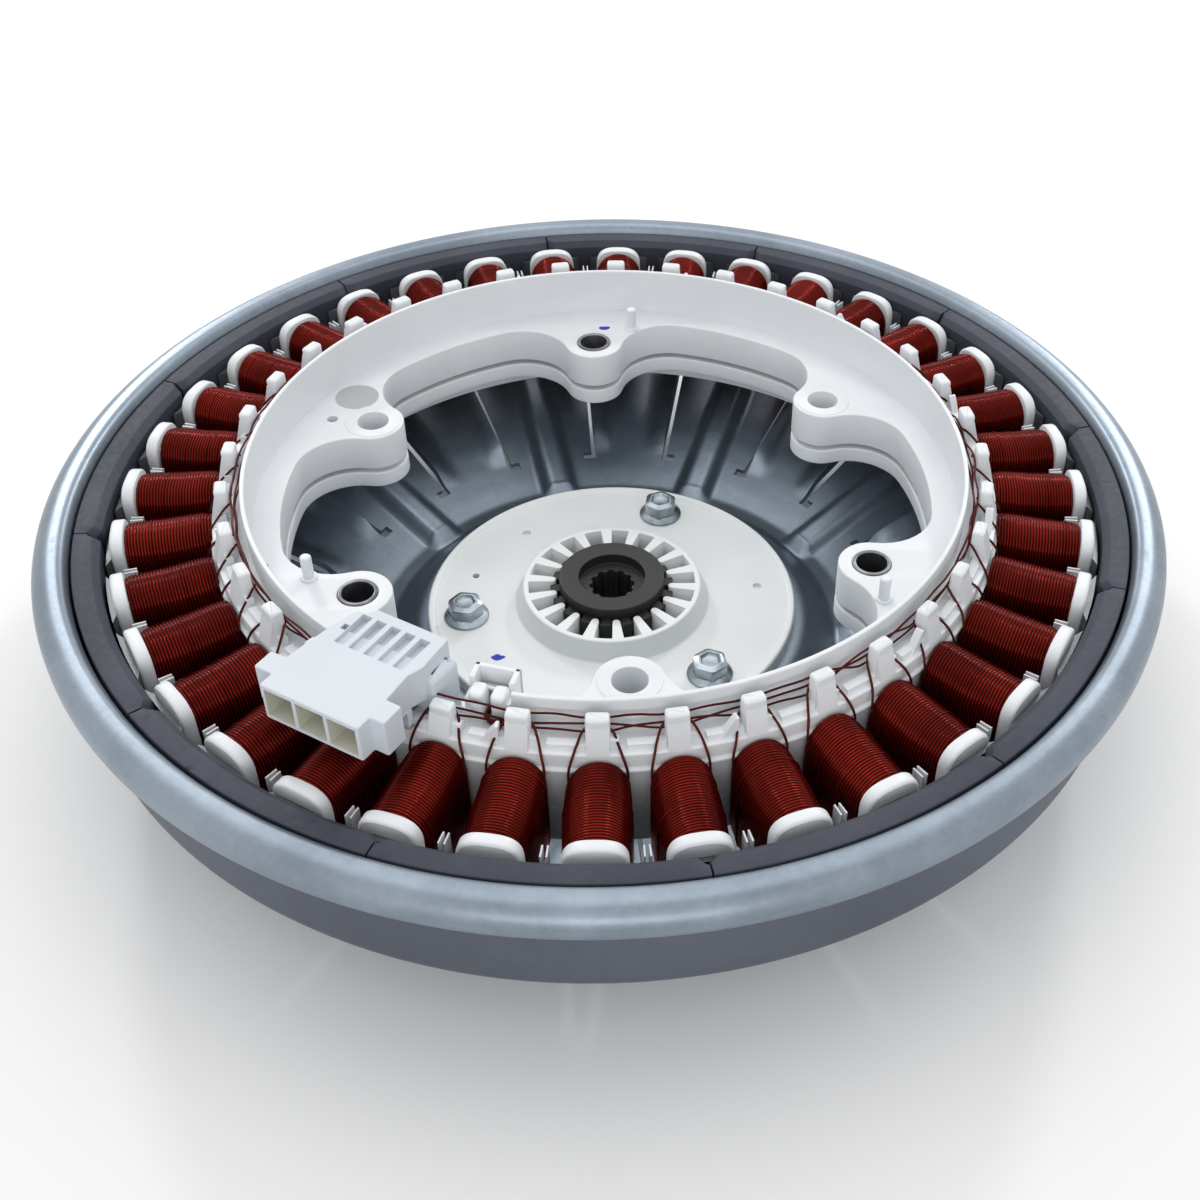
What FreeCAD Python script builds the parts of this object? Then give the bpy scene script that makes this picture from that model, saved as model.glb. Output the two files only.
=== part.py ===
import FreeCAD, Part
import math
import os
import Sketcher

# Direct-drive motor of a washing machine: a 36-tooth stator lying in its 12-magnet rotor.
# Frame: millimetres, +Z up, origin on the motor axis at the lowest face of the rotor.
# Angles are counted from +X about +Z; a coil faces -Y.

os.makedirs("parts", exist_ok=True)
doc = FreeCAD.newDocument("direct_drive_motor")
sheet = doc.addObject("Spreadsheet::Sheet", "sizes")

SIZES = {
    # rotor cup, pressed steel
    "cup_sheet": 2.0,
    "cup_wall_inner_radius": 141.0,
    "cup_seat_inner_radius": 66.0,
    "cup_seat_outer_radius": 71.0,
    "cup_corner_height": 27.5,
    "cup_centre_height": 9.4,
    "cup_centre_radius": 56.0,
    "cup_bore_radius": 30.0,
    "cup_corner_bend": 4.0,
    "rim_height": 54.6,
    "rim_roll_radius": 4.4,
    "rib_count": 10,
    "rib_width": 13.8,
    "rib_rise": 3.6,
    "rib_inner_radius": 68.0,
    "rib_outer_radius": 120.0,
    "rib_phase": 33.5,
    "louvre_inner_radius": 81.8,
    "louvre_outer_radius": 119.0,
    "louvre_spread": 8.0,
    "louvre_width": 2.4,
    "louvre_foot": 3.6,
    "louvre_blade_rise": 2.6,
    "louvre_blade_sheet": 1.0,
    # magnets, bonded to the wall
    "magnet_count": 12,
    "magnet_thickness": 7.8,
    "magnet_height": 27.5,
    "magnet_top": 57.5,
    "magnet_joint_gap": 0.5,
    "magnet_phase": 10.2,
    # moulded hub, its bushing and bolts
    "hub_disc_radius": 53.6,
    "hub_disc_thickness": 3.0,
    "hub_lip_width": 2.4,
    "hub_lip_height": 0.7,
    "hub_collar_height": 6.1,
    "hub_collar_foot_radius": 29.9,
    "hub_collar_top_radius": 26.2,
    "hub_collar_edge": 1.1,
    "hub_pocket_outer_radius": 25.3,
    "hub_pocket_width": 5.0,
    "hub_boss_radius": 29.6,
    "hub_boss_bottom": 4.0,
    "hub_phase": 5.3,
    "bushing_radius": 15.2,
    "bushing_top": 23.0,
    "bushing_bottom": 5.0,
    "bushing_tooth_count": 18,
    "bushing_tooth_radius": 17.8,
    "bushing_tooth_width": 3.4,
    "bushing_tooth_top": 19.6,
    "bushing_tooth_bottom": 13.4,
    "bushing_fit": 0.1,
    "counterbore_radius": 9.6,
    "counterbore_depth": 3.3,
    "shaft_bore_radius": 5.8,
    "spline_count": 12,
    "spline_depth": 0.7,
    "spline_width": 1.4,
    "bolt_circle_radius": 42.4,
    "bolt_phase": 70.65,
    "bolt_shank_radius": 3.0,
    "bolt_hole_radius": 3.2,
    "bolt_flange_radius": 5.9,
    "bolt_flange_height": 1.5,
    "bolt_flats": 8.6,
    "bolt_head_height": 5.8,
    "bolt_length": 8.0,
    # laminated core
    "tooth_count": 36,
    "core_bottom": 32.0,
    "core_height": 21.5,
    "yoke_inner_radius": 97.2,
    "yoke_outer_radius": 104.0,
    "tooth_width": 7.0,
    "shoe_inner_radius": 129.6,
    "shoe_outer_radius": 132.5,
    "shoe_width": 19.0,
    # insulators, two mouldings that meet at mid height
    "skin": 1.2,
    "fit": 0.05,
    "split_low": 42.1,
    "split_high": 43.6,
    "ring_inner_radius": 88.4,
    "ring_top": 54.3,
    "ring_bottom": 37.3,
    "wall_inner_radius": 95.4,
    "wall_outer_radius": 96.6,
    "wall_top": 68.2,
    "shelf_top": 59.5,
    "peg_inner_radius": 99.8,
    "peg_outer_radius": 103.2,
    "peg_width": 5.6,
    "peg_foot_width": 8.6,
    "peg_foot_top": 61.5,
    "flange_inner_radius": 127.6,
    "flange_outer_radius": 131.0,
    "flange_width": 14.6,
    "flange_top": 58.6,
    "flange_bottom": 27.0,
    "flange_corner": 4.0,
    "flange_low_corner": 1.0,
    "boss_circle_radius": 76.2,
    "boss_radius": 8.8,
    "boss_count": 6,
    "boss_blend": 15.0,
    "boss_phase": 35.0,
    "plain_hole_radius": 4.5,
    "bush_outer_radius": 5.1,
    "bush_inner_radius": 4.05,
    "bush_proud": 0.3,
    "pin_circle_radius": 84.5,
    "pin_lag": 8.4,
    "pin_radius": 1.4,
    "pin_height": 7.0,
    # windings
    "coil_width": 14.6,
    "coil_top": 57.6,
    "coil_corner": 3.6,
    "coil_clearance": 0.1,
    "wire_radius": 0.55,
    "wire_low_height": 61.2,
    "wire_pitch": 2.0,
    # connector housing and terminals
    "connector_angle": -120.5,
    "connector_front": 121.3,
    "connector_back": 88.9,
    "connector_width": 27.0,
    "connector_top": 74.6,
    "connector_bottom": 64.6,
    "connector_wall": 1.2,
    "connector_ear_back": 111.1,
    "connector_ear_front": 117.2,
    "connector_ear_reach": 4.8,
    "connector_clearance": 0.4,
    "socket_depth": 24.0,
    "slot_count": 5,
    "slot_length": 11.0,
    "slot_width": 2.1,
    "slot_depth": 0.7,
    "slot_back": 91.6,
    "slot_pitch": 4.4,
    "blade_length": 14.0,
    "blade_width": 4.8,
    "blade_sheet": 0.8,
    "neutral_angle": -105.0,
    "neutral_width": 10.6,
    "neutral_top": 66.4,
    "neutral_crimp_length": 6.4,
    "neutral_crimp_width": 2.6,
    "neutral_crimp_height": 9.0,
}

# lobe_fan is the angle from a lobe's middle to the centre of the arc that blends it into the ring;
# the two touch values are where that arc meets the lobe's round end
DERIVED = {
    "blend_reach": "=ring_inner_radius - boss_blend",
    "lobe_fan": "=acos((blend_reach ^ 2 + boss_circle_radius ^ 2 - (boss_radius + boss_blend) ^ 2)"
                " / (2 * blend_reach * boss_circle_radius))",
    "lobe_share": "=boss_radius / (boss_radius + boss_blend)",
    "touch_out": "=boss_circle_radius + (blend_reach * cos(lobe_fan) - boss_circle_radius) * lobe_share",
    "touch_side": "=blend_reach * sin(lobe_fan) * lobe_share",
    "touch_radius": "=sqrt(touch_out ^ 2 + touch_side ^ 2)",
    "touch_angle": "=atan(touch_side / touch_out)",
}

for row, (alias, content) in enumerate({**SIZES, **DERIVED}.items(), start=1):
    sheet.set(f"A{row}", alias.replace("_", " "))
    sheet.set(f"B{row}", str(content))
    sheet.setAlias(f"B{row}", alias)
    doc.recompute()

SHIPPED = []


def value(expression):
    """Number that an expression on the sheet gives."""
    if isinstance(expression, (int, float)):
        return float(expression)
    result = sheet.evalExpression(expression)
    return float(getattr(result, "Value", result))


def cell(name):
    return f"sizes.{name}"


def size(name):
    return value(cell(name))


def new_body(name):
    body = doc.addObject("PartDesign::Body", name)
    body.AllowCompound = True
    return body


def origin_part(body, role):
    for feature in body.Origin.OriginFeatures:
        if feature.Role == role:
            return feature
    raise RuntimeError(f"no {role} in {body.Name}")


def new_sketch(body, name, plane, offset=None):
    sketch = body.newObject("Sketcher::SketchObject", name)
    sketch.AttachmentSupport = (origin_part(body, plane), [""])
    sketch.MapMode = "FlatFace"
    if offset is not None:
        sketch.setExpression("AttachmentOffset.Base.z", offset)
    return sketch


def turned_sketch(body, name, angle, height):
    """Sketch on a level plane, turned so that its x runs outward at an angle of the motor."""
    sketch = new_sketch(body, name, "XY_Plane")
    rotation = FreeCAD.Rotation(FreeCAD.Vector(0, 0, 1), angle)
    sketch.AttachmentOffset = FreeCAD.Placement(FreeCAD.Vector(0, 0, 0), rotation)
    sketch.setExpression("AttachmentOffset.Base.z", height)
    return sketch


def pin_point(sketch, geometry, point, x, y):
    """Ties one sketch point to the origin by two distances from the sheet."""
    for kind, expression in (("DistanceX", x), ("DistanceY", y)):
        row = sketch.addConstraint(
            Sketcher.Constraint(kind, -1, 1, geometry, point, value(expression)))
        if isinstance(expression, str):
            sketch.setExpression(f"Constraints[{row}]", expression)


def bind_radius(sketch, geometry, radius):
    row = sketch.addConstraint(Sketcher.Constraint("Radius", geometry, value(radius)))
    if isinstance(radius, str):
        sketch.setExpression(f"Constraints[{row}]", radius)


def add_polygon(sketch, corners):
    places = [FreeCAD.Vector(value(x), value(y), 0) for x, y in corners]
    lines = []
    for start, end in zip(places, places[1:] + places[:1]):
        lines.append(sketch.addGeometry(Part.LineSegment(start, end), False))
    for line, following in zip(lines, lines[1:] + lines[:1]):
        sketch.addConstraint(Sketcher.Constraint("Coincident", line, 2, following, 1))
    for line, (x, y) in zip(lines, corners):
        pin_point(sketch, line, 1, x, y)


def add_box(sketch, x_low, x_high, y_low, y_high):
    add_polygon(sketch, [(x_low, y_low), (x_high, y_low), (x_high, y_high), (x_low, y_high)])


def add_circle(sketch, x, y, radius):
    circle = Part.Circle(FreeCAD.Vector(value(x), value(y), 0), FreeCAD.Vector(0, 0, 1), value(radius))
    geometry = sketch.addGeometry(circle, False)
    pin_point(sketch, geometry, 3, x, y)
    bind_radius(sketch, geometry, radius)


def add_rib_section(sketch, half_width, foot, rise):
    """Section of a pressed rib: a low crown with sloped shoulders."""
    shoulder, crown = f"({half_width}) * 0.7", f"({half_width}) * 0.35"
    add_polygon(sketch, [
        (f"-({half_width})", foot), (half_width, foot),
        (shoulder, f"{foot} + ({rise}) * 0.7"), (crown, f"{foot} + {rise}"),
        (f"-({crown})", f"{foot} + {rise}"), (f"-({shoulder})", f"{foot} + ({rise}) * 0.7")])


def extrude(body, sketch, name, length, cut=False, midplane=False, backward=False):
    kind = "PartDesign::Pocket" if cut else "PartDesign::Pad"
    feature = body.newObject(kind, name)
    feature.Profile = sketch
    feature.Type = "Length"
    feature.setExpression("Length", length)
    feature.Midplane = midplane
    feature.Reversed = backward
    sketch.Visibility = False
    return feature


def turn(body, sketch, name, cut=False):
    feature = body.newObject("PartDesign::Groove" if cut else "PartDesign::Revolution", name)
    feature.Profile = sketch
    feature.ReferenceAxis = (origin_part(body, "Z_Axis"), [""])
    feature.Angle = 360
    sketch.Visibility = False
    return feature


def ring_of(body, features, name, count):
    pattern = body.newObject("PartDesign::PolarPattern", name)
    pattern.Originals = features
    pattern.Axis = (origin_part(body, "Z_Axis"), [""])
    pattern.Angle = 360
    pattern.setExpression("Occurrences", str(count))
    body.Tip = pattern
    return pattern


def soften(body, base, name, radius, chosen, chamfer=False):
    """Rounds or chamfers the edges of a feature that a test on the edge picks."""
    doc.recompute()
    names = [f"Edge{i}" for i, edge in enumerate(base.Shape.Edges, start=1) if chosen(edge)]
    if not names:
        raise RuntimeError(f"{name}: no edge found")
    feature = body.newObject("PartDesign::Chamfer" if chamfer else "PartDesign::Fillet", name)
    feature.Base = (base, names)
    feature.setExpression("Size" if chamfer else "Radius", radius)
    body.Tip = feature
    return feature


def spin(angle):
    return FreeCAD.Placement(FreeCAD.Vector(0, 0, 0), FreeCAD.Rotation(FreeCAD.Vector(0, 0, 1), angle))


def ship(thing, label, angle=0.0):
    """Names a finished sub-part and turns it to its place about the motor axis."""
    if angle:
        thing.Placement = spin(angle)
    thing.Label = label
    SHIPPED.append(thing)
    return thing


def make_rotor_cup():
    body = new_body("rotor_cup_body")
    seat_in, seat_out = cell("cup_seat_inner_radius"), cell("cup_seat_outer_radius")
    sheet_cell = cell("cup_sheet")
    wall_in = cell("cup_wall_inner_radius")
    wall_out = f"{wall_in} + {sheet_cell}"
    corner, centre = cell("cup_corner_height"), cell("cup_centre_height")
    bend, land = cell("cup_corner_bend"), f"{cell('cup_corner_bend')} / 2"
    section = new_sketch(body, "cup_section", "XZ_Plane")
    add_polygon(section, [
        (cell("cup_bore_radius"), centre),
        (cell("cup_centre_radius"), centre),
        (seat_in, 0),
        (seat_out, 0),
        (f"{wall_out} - {bend}", f"{corner} - {sheet_cell}"),
        (wall_out, f"{corner} - {sheet_cell} + {bend}"),
        (wall_out, cell("rim_height")),
        (wall_in, cell("rim_height")),
        (wall_in, f"{corner} + {land}"),
        (f"{wall_in} - {land}", f"{corner} - {land} * 0.4"),
        (seat_out, sheet_cell),
        (seat_in, sheet_cell),
        (cell("cup_centre_radius"), f"{centre} + {sheet_cell}"),
        (cell("cup_bore_radius"), f"{centre} + {sheet_cell}"),
    ])
    turn(body, section, "cup_shell")

    roll_section = new_sketch(body, "rim_roll_section", "XZ_Plane")
    roll, sides = cell("rim_roll_radius"), 8
    corner_reach = f"{roll} / cos({180 / sides})"
    add_polygon(roll_section, [
        (f"{wall_in} + {roll} + {corner_reach} * cos({360 / sides * (side + 0.5)})",
         f"{cell('rim_height')} + {corner_reach} * sin({360 / sides * (side + 0.5)})")
        for side in range(sides)])
    turn(body, roll_section, "rim_roll")

    slope = f"(({corner} - {sheet_cell}) / ({wall_in} - {seat_out}))"
    half_rib = f"{cell('rib_width')} / 2"

    def floor_at(radius):
        return f"{sheet_cell} + ({radius} - {seat_out}) * {slope}"

    def loft(name, radii, profile, cut=False):
        sections = []
        for index, radius in enumerate(radii):
            sketch = new_sketch(body, f"{name}_section_{index}", "YZ_Plane", radius)
            profile(sketch, radius)
            sketch.Visibility = False
            sections.append(sketch)
        feature = body.newObject(
            "PartDesign::SubtractiveLoft" if cut else "PartDesign::AdditiveLoft", name)
        feature.Profile = sections[0]
        feature.Sections = sections[1:]
        feature.Ruled = True
        return feature

    rib_in, rib_out = cell("rib_inner_radius"), cell("rib_outer_radius")
    rib = loft("rib", (rib_in, rib_out), lambda sketch, radius: add_rib_section(
        sketch, half_rib, f"{floor_at(radius)} - {sheet_cell} * 0.45",
        f"{cell('rib_rise')} + {sheet_cell} * 0.45"))
    ring_of(body, [rib], "ribs", cell("rib_count"))
    channel = loft("rib_channel", (f"{rib_in} + {sheet_cell}", f"{rib_out} - {sheet_cell}"),
                   lambda sketch, radius: add_rib_section(
                       sketch, f"{half_rib} - {sheet_cell}", f"{floor_at(radius)} - {sheet_cell} * 1.5",
                       f"{cell('rib_rise')} + {sheet_cell} / 2"), cut=True)
    ring_of(body, [channel], "rib_channels", cell("rib_count"))

    for side, tag in ((1, "left"), (-1, "right")):
        angle = side * size("louvre_spread") + 180.0 / size("rib_count")
        place = FreeCAD.Rotation(FreeCAD.Vector(0, 0, 1), angle)
        slot_sketch = new_sketch(body, f"louvre_slot_{tag}", "XY_Plane")
        slot_sketch.AttachmentOffset = FreeCAD.Placement(FreeCAD.Vector(0, 0, 0), place)
        low, high = cell("louvre_inner_radius"), cell("louvre_outer_radius")
        half = f"{cell('louvre_width')} / 2"
        edge, reach = f"{side} * {half}", f"{side} * ({half} + {cell('louvre_foot')})"
        other = f"{-side} * {half}"
        add_polygon(slot_sketch, [
            (low, reach), (low, other), (high, other), (high, edge),
            (f"{low} + {cell('louvre_width')}", edge), (f"{low} + {cell('louvre_width')}", reach)])
        slot = extrude(body, slot_sketch, f"louvre_cut_{tag}", cell("cup_corner_height"),
                       cut=True, backward=True)
        ring_of(body, [slot], f"louvre_cuts_{tag}", cell("rib_count"))

        blade_sections = []
        for index, radius in enumerate((f"{low} + {cell('louvre_width')}", high)):
            sketch = new_sketch(body, f"louvre_blade_{tag}_{index}", "YZ_Plane")
            distance = value(radius)
            turned = FreeCAD.Rotation(FreeCAD.Vector(0, 1, 0), angle)
            offset = FreeCAD.Vector(distance * math.sin(math.radians(angle)), 0,
                                    distance * math.cos(math.radians(angle)))
            sketch.AttachmentOffset = FreeCAD.Placement(offset, turned)
            foot = floor_at(radius)
            inner = f"{-side} * ({half} - 0.05)"
            outer = f"{-side} * ({half} + {cell('louvre_blade_sheet')})"
            add_box(sketch, inner, outer, f"{foot} - {sheet_cell} / 2", f"{foot} + {cell('louvre_blade_rise')}")
            sketch.Visibility = False
            blade_sections.append(sketch)
        blade = body.newObject("PartDesign::AdditiveLoft", f"louvre_blade_loft_{tag}")
        blade.Profile = blade_sections[0]
        blade.Sections = blade_sections[1:]
        blade.Ruled = True
        ring_of(body, [blade], f"louvre_blades_{tag}", cell("rib_count"))

    bolt_sketch = new_sketch(body, "cup_bolt_hole_outline", "XY_Plane")
    reach = cell("bolt_circle_radius")
    turn_by = f"{cell('bolt_phase')} - {cell('rib_phase')}"
    add_circle(bolt_sketch, f"{reach} * cos({turn_by})", f"{reach} * sin({turn_by})", cell("bolt_hole_radius"))
    bolt_hole = extrude(body, bolt_sketch, "cup_bolt_hole", f"{centre} * 2", cut=True, backward=True)
    ring_of(body, [bolt_hole], "cup_bolt_holes", 3)
    ship(body, "rotor_cup", size("rib_phase"))


def make_magnets():
    pitch = 360.0 / size("magnet_count")
    outer_radius = cell("cup_wall_inner_radius")
    inner_radius = f"{outer_radius} - {cell('magnet_thickness')}"
    for number in range(int(size("magnet_count"))):
        tag = f"magnet_{number + 1:02d}"
        body = new_body(f"{tag}_body")
        outline = new_sketch(body, f"{tag}_outline", "XY_Plane",
                             f"{cell('magnet_top')} - {cell('magnet_height')}")
        half = f"(180 deg / {cell('magnet_count')})"
        gap = f"({cell('magnet_joint_gap')} / 2)"
        corners = []
        for radius, side in ((inner_radius, -1), (outer_radius, -1), (outer_radius, 1), (inner_radius, 1)):
            lean = f"({half} - asin({gap} / ({radius})))"
            corners.append((f"({radius}) * cos({lean})", f"{side} * ({radius}) * sin({lean})"))
        places = [FreeCAD.Vector(value(x), value(y), 0) for x, y in corners]
        top_outer = FreeCAD.Vector(value(outer_radius), 0, 0)
        top_inner = FreeCAD.Vector(value(inner_radius), 0, 0)
        pieces = [
            outline.addGeometry(Part.LineSegment(places[0], places[1]), False),
            outline.addGeometry(Part.Arc(places[1], top_outer, places[2]), False),
            outline.addGeometry(Part.LineSegment(places[2], places[3]), False),
            outline.addGeometry(Part.Arc(places[3], top_inner, places[0]), False),
        ]
        outline.addConstraint(Sketcher.Constraint("Coincident", pieces[0], 2, pieces[1], 1))
        outline.addConstraint(Sketcher.Constraint("Coincident", pieces[1], 2, pieces[2], 1))
        outline.addConstraint(Sketcher.Constraint("Coincident", pieces[2], 2, pieces[3], 2))
        outline.addConstraint(Sketcher.Constraint("Coincident", pieces[3], 1, pieces[0], 1))
        for line, point, (x, y) in ((pieces[0], 1, corners[0]), (pieces[0], 2, corners[1]),
                                    (pieces[2], 1, corners[2]), (pieces[2], 2, corners[3])):
            pin_point(outline, line, point, x, y)
        bind_radius(outline, pieces[1], outer_radius)
        bind_radius(outline, pieces[3], inner_radius)
        extrude(body, outline, f"{tag}_block", cell("magnet_height"))
        ship(body, tag, size("magnet_phase") + (number + 0.5) * pitch)


def make_rotor_hub():
    body = new_body("rotor_hub_body")
    base = f"{cell('cup_centre_height')} + {cell('cup_sheet')}"
    top = f"{base} + {cell('hub_disc_thickness')}"
    collar = f"{top} + {cell('hub_collar_height')}"
    disc = cell("hub_disc_radius")
    section = new_sketch(body, "hub_section", "XZ_Plane")
    bore = f"{cell('bushing_radius')} + {cell('bushing_fit')}"
    add_polygon(section, [
        (bore, cell("hub_boss_bottom")),
        (cell("hub_boss_radius"), cell("hub_boss_bottom")),
        (cell("hub_boss_radius"), base),
        (disc, base),
        (disc, f"{top} + {cell('hub_lip_height')}"),
        (f"{disc} - {cell('hub_lip_width')}", f"{top} + {cell('hub_lip_height')}"),
        (f"{disc} - {cell('hub_lip_width')} - {cell('hub_lip_height')}", top),
        (cell("hub_collar_foot_radius"), top),
        (f"{cell('hub_collar_top_radius')} + {cell('hub_collar_edge')}", f"{collar} - {cell('hub_collar_edge')}"),
        (cell("hub_collar_top_radius"), collar),
        (bore, collar),
    ])
    turn(body, section, "hub_blank")

    pocket_sketch = new_sketch(body, "hub_pocket_outline", "XY_Plane", collar)
    wide = f"{cell('hub_pocket_width')} / 2"
    narrow = f"{cell('bushing_tooth_width')} / 2 + {cell('bushing_fit')}"
    mouth, end = f"{cell('bushing_radius')} - 1", cell("hub_pocket_outer_radius")
    add_polygon(pocket_sketch, [(mouth, f"-({narrow})"), (end, f"-({wide})"), (end, wide), (mouth, narrow)])
    depth = f"{collar} - {cell('bushing_tooth_bottom')} + {cell('bushing_fit')}"
    pocket = extrude(body, pocket_sketch, "hub_pocket", depth, cut=True)
    ring_of(body, [pocket], "hub_pockets", cell("bushing_tooth_count"))

    bolt_sketch = new_sketch(body, "hub_bolt_hole_outline", "XY_Plane", top)
    reach = cell("bolt_circle_radius")
    turn_by = f"{cell('bolt_phase')} - {cell('hub_phase')}"
    add_circle(bolt_sketch, f"{reach} * cos({turn_by})", f"{reach} * sin({turn_by})", cell("bolt_hole_radius"))
    hole = extrude(body, bolt_sketch, "hub_bolt_hole", f"{cell('hub_disc_thickness')} * 2", cut=True)
    ring_of(body, [hole], "hub_bolt_holes", 3)
    ship(body, "rotor_hub", size("hub_phase"))


def make_spline_bushing():
    body = new_body("spline_bushing_body")
    section = new_sketch(body, "bushing_section", "XZ_Plane")
    floor = f"{cell('bushing_top')} - {cell('counterbore_depth')}"
    edge = "0.8"
    add_polygon(section, [
        (cell("shaft_bore_radius"), cell("bushing_bottom")),
        (cell("bushing_radius"), cell("bushing_bottom")),
        (cell("bushing_radius"), f"{cell('bushing_top')} - {edge}"),
        (f"{cell('bushing_radius')} - {edge}", cell("bushing_top")),
        (cell("counterbore_radius"), cell("bushing_top")),
        (cell("counterbore_radius"), floor),
        (cell("shaft_bore_radius"), floor),
    ])
    turn(body, section, "bushing_blank")
    tooth_sketch = new_sketch(body, "bushing_tooth_outline", "XY_Plane", cell("bushing_tooth_bottom"))
    half = f"{cell('bushing_tooth_width')} / 2"
    add_box(tooth_sketch, f"{cell('bushing_radius')} - 1", cell("bushing_tooth_radius"), f"-({half})", half)
    tooth = extrude(body, tooth_sketch, "bushing_tooth",
                    f"{cell('bushing_tooth_top')} - {cell('bushing_tooth_bottom')}")
    ring_of(body, [tooth], "bushing_teeth", cell("bushing_tooth_count"))
    spline_sketch = new_sketch(body, "spline_outline", "XY_Plane", floor)
    spline_half = f"{cell('spline_width')} / 2"
    add_box(spline_sketch, f"{cell('shaft_bore_radius')} - 0.5",
            f"{cell('shaft_bore_radius')} + {cell('spline_depth')}", f"-({spline_half})", spline_half)
    spline = extrude(body, spline_sketch, "spline", f"{floor} - {cell('bushing_bottom')} + 1", cut=True)
    ring_of(body, [spline], "splines", cell("spline_count"))
    ship(body, "spline_bushing", size("hub_phase"))


def make_hub_bolts():
    body = new_body("hub_bolts_body")
    seat = f"{cell('cup_centre_height')} + {cell('cup_sheet')} + {cell('hub_disc_thickness')}"
    reach = cell("bolt_circle_radius")
    parts = (
        ("bolt_shank", f"{seat} - {cell('bolt_length')}", cell("bolt_length"), cell("bolt_shank_radius")),
        ("bolt_flange", seat, cell("bolt_flange_height"), cell("bolt_flange_radius")),
    )
    made = []
    for name, low, height, radius in parts:
        sketch = new_sketch(body, f"{name}_outline", "XY_Plane", low)
        add_circle(sketch, reach, 0, radius)
        made.append(extrude(body, sketch, name, height))
    hexagon = new_sketch(body, "bolt_hexagon", "XY_Plane", f"{seat} + {cell('bolt_flange_height')}")
    across = f"{cell('bolt_flats')} / sqrt(3)"
    add_polygon(hexagon, [(f"{reach} + {across} * cos({60 * i})", f"{across} * sin({60 * i})")
                          for i in range(6)])
    made.append(extrude(body, hexagon, "bolt_head", f"{cell('bolt_head_height')} - {cell('bolt_flange_height')}"))
    ring_of(body, made, "bolt_ring", 3)
    ship(body, "hub_bolts", size("bolt_phase"))


def make_core():
    body = new_body("stator_core_body")
    ring = new_sketch(body, "yoke_outline", "XY_Plane", cell("core_bottom"))
    add_circle(ring, 0, 0, cell("yoke_outer_radius"))
    add_circle(ring, 0, 0, cell("yoke_inner_radius"))
    extrude(body, ring, "yoke", cell("core_height"))
    tooth_sketch = new_sketch(body, "tooth_outline", "XY_Plane", cell("core_bottom"))
    half, shoe = f"{cell('tooth_width')} / 2", f"{cell('shoe_width')} / 2"
    shoe_in, shoe_out = cell("shoe_inner_radius"), cell("shoe_outer_radius")
    tip = f"sqrt({shoe_out} ^ 2 - ({shoe}) ^ 2)"
    root = f"{cell('yoke_outer_radius')} - 1"
    corners = [(root, f"-({half})"), (shoe_in, f"-({half})"), (tip, f"-({shoe})"),
               (tip, shoe), (shoe_in, half), (root, half)]
    places = [FreeCAD.Vector(value(x), value(y), 0) for x, y in corners]
    face_middle = FreeCAD.Vector(value(shoe_out), 0, 0)
    pieces = []
    for index, start in enumerate(places):
        end = places[(index + 1) % len(places)]
        if index == 2:
            pieces.append(tooth_sketch.addGeometry(Part.Arc(start, face_middle, end), False))
        else:
            pieces.append(tooth_sketch.addGeometry(Part.LineSegment(start, end), False))
    for piece, following in zip(pieces, pieces[1:] + pieces[:1]):
        tooth_sketch.addConstraint(Sketcher.Constraint("Coincident", piece, 2, following, 1))
    for index, (x, y) in enumerate(corners):
        if index == 2:
            pin_point(tooth_sketch, pieces[1], 2, x, y)
        else:
            pin_point(tooth_sketch, pieces[index], 1, x, y)
    bind_radius(tooth_sketch, pieces[2], shoe_out)
    tooth = extrude(body, tooth_sketch, "tooth", cell("core_height"))
    ring_of(body, [tooth], "teeth", cell("tooth_count"))
    return ship(body, "stator_core")


def polar(radius, angle):
    """Place in a sketch, from a radius and an angle in expression form."""
    return (f"({radius}) * cos({angle})", f"({radius}) * sin({angle})")


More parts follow.
